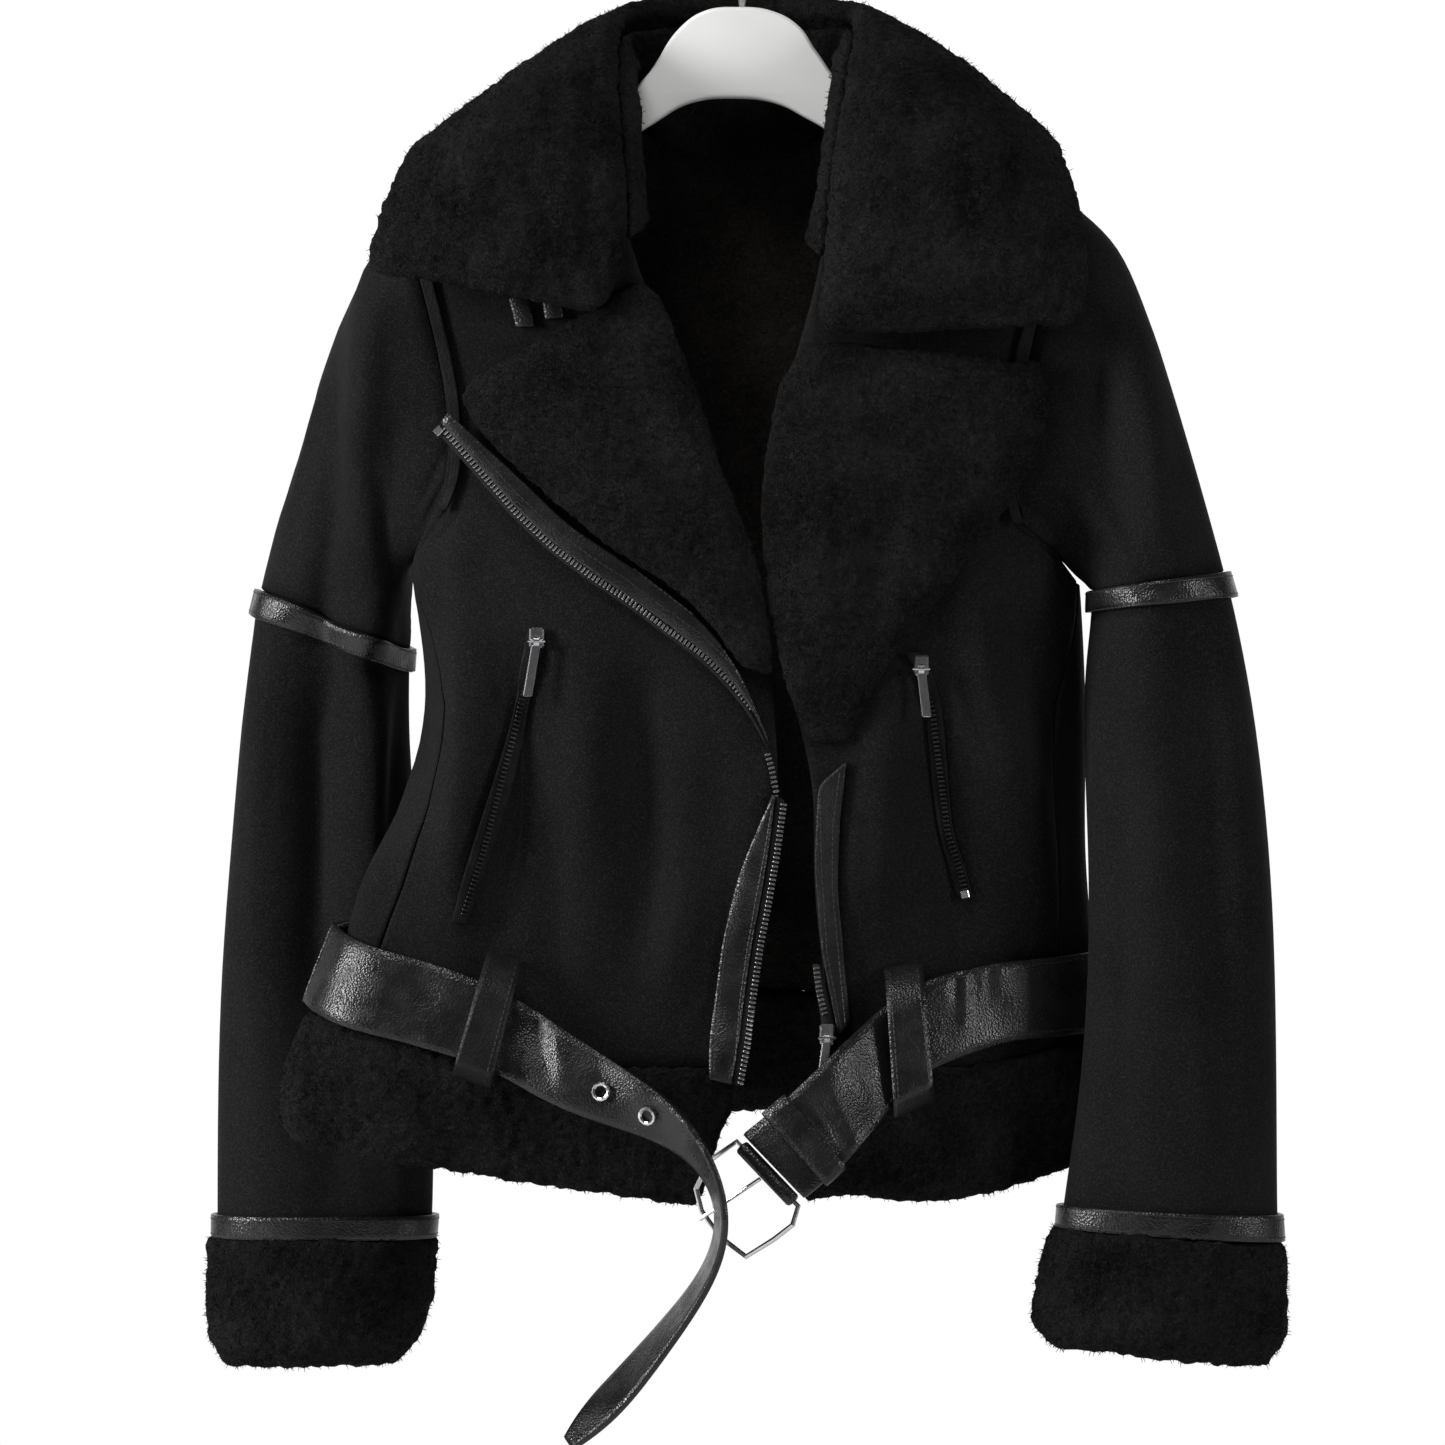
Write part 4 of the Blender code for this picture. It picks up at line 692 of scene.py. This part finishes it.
# %% [markdown]
# ## Leather strips and the belt
# Strips that lie on the cloth take the same creases as the cloth. The belt hangs free, so it gets a slow
# ripple and a few sharp folds of its own where it bends. All keep their cut edges, rounded a little by the
# subdivision.
# %% Leather pieces
STRIP_HOLD = 0.8
lying = {  # finish, what it lies on
    "armhole_strip_right": (dull_leather, ["front_right"]),
    "armhole_strip_left": (dull_leather, ["front_left"]),
    "elbow_band_right": (leather, ["sleeve_upper_right"]),
    "elbow_band_left": (leather, ["sleeve_upper_left"]),
    "wrist_strip_right": (leather, ["sleeve_lower_right"]),
    "wrist_strip_left": (leather, ["sleeve_lower_left"]),
    "front_strip_left": (matt_leather, ["front_left"]),
    "zip_strip_right_lower": (leather, ["front_right"]),
    "zip_strip_right_upper": (leather, ["front_right"]),
    "pocket_zip_right": (dull_leather, ["front_right"]),
    "pocket_zip_left": (dull_leather, ["front_left"]),
    "throat_tab_outer": (leather, ["front_right"]),
    "throat_tab_inner": (leather, ["front_right"]),
}
for node, (finish, on) in lying.items():
    made = soft_shell(node, finish, hold=STRIP_HOLD)
    crease(made, tube=node.startswith(("elbow", "wrist")))
    cloth[node] = attach(made, node)
tape_nodes = ("zip_tape_right_upper", "zip_tape_right_lower", "zip_tape_left")
for node in tape_nodes:
    made = soft_shell(node, tape, levels=1)
    crease(made)
    cloth[node] = attach(made, node)
RIPPLE_SIZE, RIPPLE_HEIGHT = 24.0, 1.3
belts = {  # what each hangs on
    "belt_back": ["belt_loop_back_right", "belt_loop_back_left"], "belt_tail_side": ["belt_loop_right"],
    "belt_buckle_side": ["belt_loop_left"], "belt_loop_right": ["front_right"], "belt_loop_left": ["front_left"],
    "belt_loop_back_right": ["back"], "belt_loop_back_left": ["back"], "belt_keeper": ["belt_buckle_side"],
    "belt_end_wrap": ["belt_buckle_side"],
}
for seed, (node, on) in enumerate(belts.items()):
    finish = matt_leather if node == "belt_loop_right" else leather
    made = soft_shell(node, finish, hold=STRIP_HOLD)
    if node in ("belt_back", "belt_tail_side", "belt_buckle_side"):
        wrinkle(made, RIPPLE_SIZE, RIPPLE_HEIGHT, seed * 9.1)
        crease_belt(made)
    cloth[node] = attach(made, node)
print("leather and tape pieces:", len(lying) + len(tape_nodes) + len(belts))

# %% [markdown]
# ## Finding a place on a piece
# Teeth and stitches sit on surfaces that are curved and creased. A ray sent from in front finds the surface
# at a given place across and up, with the direction that it faces there.
# %% Rays
RAY_START = -0.4  # metres in front of the hook


def tree_of(made):
    shape = bmesh.new()
    shape.from_mesh(made.data)
    tree = BVHTree.FromBMesh(shape)
    shape.free()
    return tree


def seen_from_front(tree, x, z):
    """The place and direction of the first face behind a place in millimetres."""
    place, facing, _, _ = tree.ray_cast(Vector((x * MM, RAY_START, z * MM)), Vector((0, 1, 0)))
    return place, facing


def even_along(points, step):
    """Even places along a line of points, with the direction at each."""
    points = np.array(points, float)
    runs = np.linalg.norm(np.diff(points, axis=0), axis=1)
    reach = np.concatenate([[0], np.cumsum(runs)])
    count = max(int(reach[-1] / step), 1)
    at = (np.arange(count) + 0.5) * reach[-1] / count
    found = np.stack([np.interp(at, reach, points[:, k]) for k in range(points.shape[1])], axis=-1)
    heading = np.gradient(found, axis=0) if count > 1 else np.array([points[-1] - points[0]])
    return found, heading / np.linalg.norm(heading, axis=1, keepdims=True)


def many(name, template, matrices, finish):
    """One mesh of a small template read once for each matrix."""
    shape = bmesh.new()
    start = [vert.co.copy() for vert in template.vertices]
    for matrix in matrices:
        for vert, place in zip(template.vertices, start):
            vert.co = matrix @ place
        shape.from_mesh(template)
    made = finished(name, as_mesh(shape, name), finish)
    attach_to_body(made, "jacket")
    return made


def standing(place, along, facing):
    """A matrix with X along a line and Z out of the surface."""
    z = facing.normalized()
    y = z.cross(along).normalized()
    x = y.cross(z)
    turned = Matrix((x, y, z)).transposed().to_4x4()
    turned.translation = place
    return turned


# %% [markdown]
# ## Zip teeth
# A moulded metal tooth is a small block with bevelled edges. One tooth is a bevelled cube of a few dozen
# faces, read once every 2.4 mm along the edge of the tape. The pockets are closed, so their two rows
# interlock into one.
# %% Teeth
TOOTH_STEP = 2.4  # millimetres, as all of these but the edge, which is in metres
TOOTH_LONG, TOOTH_TALL = 1.25, 1.9
TOOTH_WIDE, POCKET_TOOTH_WIDE = 3.4, 3.6
TOOTH_EDGE = 0.00028
TOOTH_RISE = 0.5  # how high its middle lies over the tape
ZIP_UPPER = ((-165, -295), (-145, -318), (-125, -341), (-105, -360), (-84, -376), (-64, -389), (-44, -404),
             (-23, -419), (-7, -435), (6, -451), (15, -469))
ZIP_LOWER = ((22.4, -496), (18.4, -525), (14.4, -549), (9.4, -575), (5.4, -603), (2.4, -628), (-1.4, -649))
ZIP_CORNER = ((13.5, -469), (16.0, -478), (18.0, -488), (19.0, -494))
ZIP_LEFT = ((40, -585), (42, -600), (45.0, -612))
POCKET_RIGHT = ((-112.5, -416), (-120, -444), (-129, -477), (-141, -525), (-151, -558))
POCKET_LEFT = ((98.5, -434), (103, -446), (107, -475), (112, -514), (118, -531), (121.5, -545))


def tooth_template(wide, long, tall):
    shape = bmesh.new()
    bmesh.ops.create_cube(shape, size=1.0)
    bmesh.ops.scale(shape, vec=(long * MM, wide * MM, tall * MM), verts=shape.verts)
    bmesh.ops.bevel(shape, geom=shape.edges[:], offset=TOOTH_EDGE, segments=1, affect="EDGES", profile=0.5,
                    material=-1)
    return as_mesh(shape, "tooth")


def teeth_along(name, node, points, sideways, finish, wide):
    """A row of teeth. sideways is how far each stands off the line, to its left as the line runs."""
    tree = tree_of(cloth[node])
    matrices = []
    for (x, z), (dx, dz) in zip(*even_along(points, TOOTH_STEP)):
        place, facing = seen_from_front(tree, x, z)
        if place is None:
            continue
        along = Vector((dx, 0, dz))
        across = along.cross(facing).normalized()
        middle = place + facing * TOOTH_RISE * MM + across * sideways * MM
        matrices.append(standing(middle, along, facing))
    return many(name, tooth_template(wide, TOOTH_LONG, TOOTH_TALL), matrices, finish)


row_counts = []
for name, node, points, sideways, finish in (
    ("teeth_right_upper", "zip_tape_right_upper", [(x + 1.2, z + 1.2) for x, z in ZIP_UPPER], -1.6, nickel),
    ("teeth_right_lower", "zip_tape_right_lower", [(x - 1.2, z) for x, z in ZIP_LOWER], -1.6, nickel),
    ("teeth_right_corner", "front_right", ZIP_CORNER, 0.0, nickel),
    ("teeth_left", "zip_tape_left", ZIP_LEFT, 0.0, nickel),
    ("teeth_pocket_right", "pocket_zip_right", POCKET_RIGHT, 0.0, black_metal),
    ("teeth_pocket_left", "pocket_zip_left", POCKET_LEFT, 0.0, black_metal),
):
    wide = POCKET_TOOTH_WIDE if "pocket" in name else TOOTH_WIDE
    made = teeth_along(name, node, points, sideways, finish, wide)
    row_counts.append((name, len(made.data.polygons)))
print("teeth:", row_counts)

# %% [markdown]
# ## Stitches
# Each strip is sewn down with a lockstitch close to its edges. A stitch is a short rounded bar of thread
# that dips at both ends, one every 3.4 mm. The edges of a strap are found by sending rays down each column
# until they hit and until they miss again, so that the row keeps its distance from the cut edge.
# %% Stitch rows
STITCH_STEP = 3.4  # millimetres, and the thread's own measures in metres
THREAD_RADIUS, STITCH_LONG = 0.00042, 0.0026
EDGE_INSET = 2.6
RING_STEPS = 96
RING_SHARE, RING_INSET = 0.72, 0.6


def stitch_template():
    shape = bmesh.new()
    bmesh.ops.create_cone(shape, cap_ends=True, segments=6, radius1=THREAD_RADIUS, radius2=THREAD_RADIUS,
                          depth=STITCH_LONG)
    bmesh.ops.rotate(shape, verts=shape.verts, cent=(0, 0, 0), matrix=Matrix.Rotation(math.pi / 2, 3, "Y"))
    for vert in shape.verts:
        vert.co.z = vert.co.z * 0.8 - abs(vert.co.x) * 0.18 + 0.0002
    return as_mesh(shape, "stitch")


def on_surface(tree, points):
    """Places for stitches along a line, where the surface faces the front."""
    matrices = []
    for (x, z), (dx, dz) in zip(*even_along(points, STITCH_STEP)):
        place, facing = seen_from_front(tree, x, z)
        if place is not None and facing.y < -0.15:
            matrices.append(standing(place, Vector((dx, 0, dz)), facing))
    return matrices


def edge_lines(tree, x_from, x_to, z_from, z_to):
    """The upper and the lower edge of a strap seen from the front, drawn in a little."""
    upper, lower = [], []
    for x in np.arange(x_from, x_to, 4.0):
        hit = [z for z in np.arange(z_from, z_to, -1.0) if seen_from_front(tree, x, z)[0] is not None]
        if hit:
            upper.append((x, hit[0] - EDGE_INSET))
            lower.append((x, hit[-1] + EDGE_INSET))
    return upper, lower


def ring_matrices(node):
    """Places round a band of the sleeve, above and below its middle."""
    tree = tree_of(cloth[node])
    places, _ = points_of(cloth[node])
    centre = places.mean(axis=0)
    _, _, axes = np.linalg.svd(places - centre, full_matrices=False)
    square = axes[2] * (1 if axes[2][2] > 0 else -1)
    half = np.abs((places - centre) @ square).max() * RING_SHARE - RING_INSET
    matrices = []
    for side in (1, -1):
        middle = Vector((centre + square * side * half) / TO_MM)
        for k in range(RING_STEPS):
            turn = k / RING_STEPS * 2 * math.pi
            out = (Vector(axes[0]) * math.cos(turn) + Vector(axes[1]) * math.sin(turn)).normalized()
            place, facing, _, _ = tree.ray_cast(middle + out * 0.15, -out)
            if place is not None and facing.dot(out) > 0.3:
                matrices.append(standing(place, Vector(square).cross(out), facing))
    return matrices


stitches = []
strap_reach = {  # from x to x and from z to z, where a strap's edges are looked for
    "belt_tail_side": (-240, -50, -555, -690), "belt_buckle_side": (62, 200, -560, -700),
}
for node, reach in strap_reach.items():
    tree = tree_of(cloth[node])
    for row in edge_lines(tree, *reach):
        stitches += on_surface(tree, row)
stitch_lines = {  # x and z of each row, in millimetres
    "belt_loop_right": [((-136, -580), (-155, -641)), ((-122, -584), (-139, -648))],
    "belt_loop_left": [((80, -588), (84.5, -656)), ((95, -586), (101.5, -650))],
    "zip_strip_right_upper": [
        [(x + 2.5, z - 2.0) for x, z in ((-156, -287), (-112, -327), (-66, -364), (-18, -401), (4, -436))],
        [(x - 1.5, z + 7.5) for x, z in ZIP_UPPER[1:-1]],
        [(x + 2.0, z + 13.0) for x, z in ZIP_UPPER[1:-2]],
    ],
    "zip_strip_right_lower": [
        ((14, -500), (8, -516), (-0.5, -538), (-8.5, -573), (-12.5, -605), (-15.5, -642)),
        ((16, -500), (12, -525), (7.5, -549), (3, -575), (-1, -603), (-4, -640)),
    ],
    "front_strip_left": [
        ((42, -490), (43, -530), (46, -578), (54, -620)), ((53, -480), (49, -510), (49, -544), (56, -616)),
    ],
}
for node, lines in stitch_lines.items():
    tree = tree_of(cloth[node])
    for line in lines:
        stitches += on_surface(tree, line)
for node in ("elbow_band_right", "elbow_band_left", "wrist_strip_right", "wrist_strip_left"):
    stitches += ring_matrices(node)
many("stitches", stitch_template(), stitches, thread)
print("stitches:", len(stitches))

# %% [markdown]
# ## End stops
# A zip row ends in a small crimped metal block. Two show: at the tip of the turned-out corner and at the
# foot of the left pocket.
# %% Stops
STOP_RISE = 0.0008
STOP_WIDE, STOP_LONG, STOP_TALL = 4.6, 4.2, 2.6
stops = []
for node, x, z, dx, dz in (
    ("zip_tape_right_upper", -164.5, -294.5, 0.7, -0.7), ("pocket_zip_left", 121.6, -546.5, 0.2, -1.0),
):
    place, facing = seen_from_front(tree_of(cloth[node]), x, z)
    if place is not None:
        stops.append(standing(place + facing * STOP_RISE, Vector((dx, 0, dz)), facing))
many("end_stops", tooth_template(STOP_WIDE, STOP_LONG, STOP_TALL), stops, nickel)
print("end stops:", len(stops))

# %% [markdown]
# ## The hanger
# A moulded hanger has rounded edges and a smooth crown, which the straight runs of its solid do not show.
# We draw the same outline as a smooth curve, fill it, give it its thickness and a round bevel, and turn it
# upright before its place is applied.
# %% Hanger
HANGER_OUTLINE = (
    (166, -173), (150, -159), (112, -137.5), (80, -120), (57, -105), (41, -84), (31, -70), (17, -62), (-2, -59.7),
    (-21, -62), (-35, -72), (-52, -97), (-69, -113), (-100, -129.5), (-130, -145), (-155, -158), (-172, -172),
    (-174, -181), (-168, -186.5), (-120, -161), (-68, -135), (-49, -124), (-30, -113), (-2, -109.8), (20, -113),
    (36, -121), (54, -131), (112, -161), (158, -185.5), (165, -182),
)


HANGER_HALF = 0.0028
HANGER_ROUND = 0.0022


def make_hanger():
    curve = bpy.data.curves.new("hanger_body", "CURVE")
    curve.dimensions = "2D"
    curve.fill_mode = "BOTH"
    curve.extrude = HANGER_HALF
    curve.bevel_depth = HANGER_ROUND
    curve.bevel_resolution = 4
    curve.offset = -HANGER_ROUND
    spline = curve.splines.new("BEZIER")
    spline.bezier_points.add(len(HANGER_OUTLINE) - 1)
    for point, (x, z) in zip(spline.bezier_points, HANGER_OUTLINE):
        point.co = (x * MM, z * MM, 0)
        point.handle_left_type = point.handle_right_type = "AUTO"
    spline.use_cyclic_u = True
    made = bpy.data.objects.new("hanger_body", curve)
    bpy.context.scene.collection.objects.link(made)
    bpy.context.view_layer.update()
    mesh = bpy.data.meshes.new_from_object(made.evaluated_get(bpy.context.evaluated_depsgraph_get()))
    bpy.data.objects.remove(made)
    shape = bmesh.new()
    shape.from_mesh(mesh)
    bmesh.ops.remove_doubles(shape, verts=shape.verts, dist=SAME_POINT)
    bmesh.ops.rotate(shape, verts=shape.verts, cent=(0, 0, 0), matrix=Matrix.Rotation(math.pi / 2, 3, "X"))
    bmesh.ops.recalc_face_normals(shape, faces=shape.faces)
    shape.to_mesh(mesh)
    shape.free()
    mesh.shade_smooth()
    mesh.set_sharp_from_angle(angle=math.radians(50))
    return finished("hanger_body", mesh, plastic)


hanger = make_hanger()
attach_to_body(hanger, "jacket")
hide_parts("hanger")
print("hanger:", len(hanger.data.polygons), "faces")

# %% [markdown]
# ## Metal parts
# The sliders, pulls, eyelets, buckle and hook have the right shape already, so the solids stay and get the
# metal.
# %% Metal finishes on the solids
metal_nodes = [n for n in solids if n.endswith(("slider", "pull")) or n.startswith(("eyelet", "buckle"))]
for node in metal_nodes + ["hanger_hook"]:
    solids[node].data.materials.clear()
    solids[node].data.materials.append(nickel)
print("metal solids:", metal_nodes)

# %% [markdown]
# ## Light, ground and camera
# The picture was taken against white in even light, with a softbox high on the left that puts the long
# shine on the belt. A black garment needs large lamps: what we see on leather is their reflection. The
# world is white to the camera, but it lights the jacket mostly from behind, so that black stays black in
# front. The camera is far away with a long lens, level with the middle of the jacket, and frames it as the
# photograph does, with the hook above the edge.
# %% Studio
def softbox(name, place, aim, size, power):
    lamp = bpy.data.lights.new(name, "AREA")
    lamp.shape = "RECTANGLE"
    lamp.size, lamp.size_y = size
    lamp.energy = power
    made = bpy.data.objects.new(name, lamp)
    made.location = place
    made.rotation_euler = (Vector(aim) - Vector(place)).to_track_quat("-Z", "Y").to_euler()
    bpy.context.scene.collection.objects.link(made)


middle = (-0.01, 0, -0.45)
softbox("side softbox left", (-2.3, -0.9, 0.2), middle, (0.6, 1.2), 66)
softbox("side softbox right", (2.3, -1.2, 0.0), middle, (0.5, 1.2), 22)
softbox("top softbox", (-0.6, -1.2, 1.5), middle, (0.9, 0.5), 18)
world = bpy.data.worlds.new("white studio")
bpy.context.scene.world = world
world.use_nodes = True
heading = add_node(world, "ShaderNodeTexCoord")
split = add_node(world, "ShaderNodeSeparateXYZ")
wall = add_node(world, "ShaderNodeMapRange", {"From Min": 0.55, "From Max": 0.95, "To Min": 0.07, "To Max": 1.0},
                interpolation_type="SMOOTHSTEP")
seen = add_node(world, "ShaderNodeLightPath")
brighter = add_node(world, "ShaderNodeMath", operation="MAXIMUM")
background = world.node_tree.nodes["Background"]
background.inputs["Color"].default_value = (1.0, 1.0, 1.0, 1)
join(world, heading.outputs["Generated"], split.inputs["Vector"])
join(world, split.outputs["Y"], wall.inputs["Value"])
join(world, wall.outputs["Result"], brighter.inputs[0])
join(world, seen.outputs["Is Camera Ray"], brighter.inputs[1])
join(world, brighter.outputs["Value"], background.inputs["Strength"])

GROUND_LEVEL = -1.2
GROUND_RADIUS = 2.6
shape = bmesh.new()
bmesh.ops.create_circle(shape, cap_ends=True, segments=64, radius=GROUND_RADIUS)
bmesh.ops.translate(shape, verts=shape.verts, vec=(0, 0, GROUND_LEVEL))
ground_finish, ground_shader, ground_places = new_finish("pale floor", 0.7)
floor_tone = two_tones(ground_finish, pattern(ground_finish, ground_places, 3, 2), 0.3, (0.80, 0.80, 0.80), 0.7,
                       (0.84, 0.84, 0.84))
join(ground_finish, floor_tone, ground_shader.inputs["Base Color"])
finished("ground", as_mesh(shape, "ground"), ground_finish)

LENS = 200.0
SENSOR = 36.0
PIXEL = 0.00055  # metres of the jacket to one of the photograph's 1445 pixels
FRAME_WIDE = 1445 * PIXEL
camera_data = bpy.data.cameras.new("camera")
camera_data.lens = LENS
camera_data.sensor_width = SENSOR
camera = bpy.data.objects.new("camera", camera_data)
camera.location = (-0.0107, -FRAME_WIDE * LENS / SENSOR, -0.453)
camera.rotation_euler = (math.radians(90), 0, 0)
bpy.context.scene.collection.objects.link(camera)
bpy.context.scene.camera = camera
bpy.context.scene.view_settings.view_transform = "Standard"
print("camera distance:", round(-camera.location.y, 2), "m")
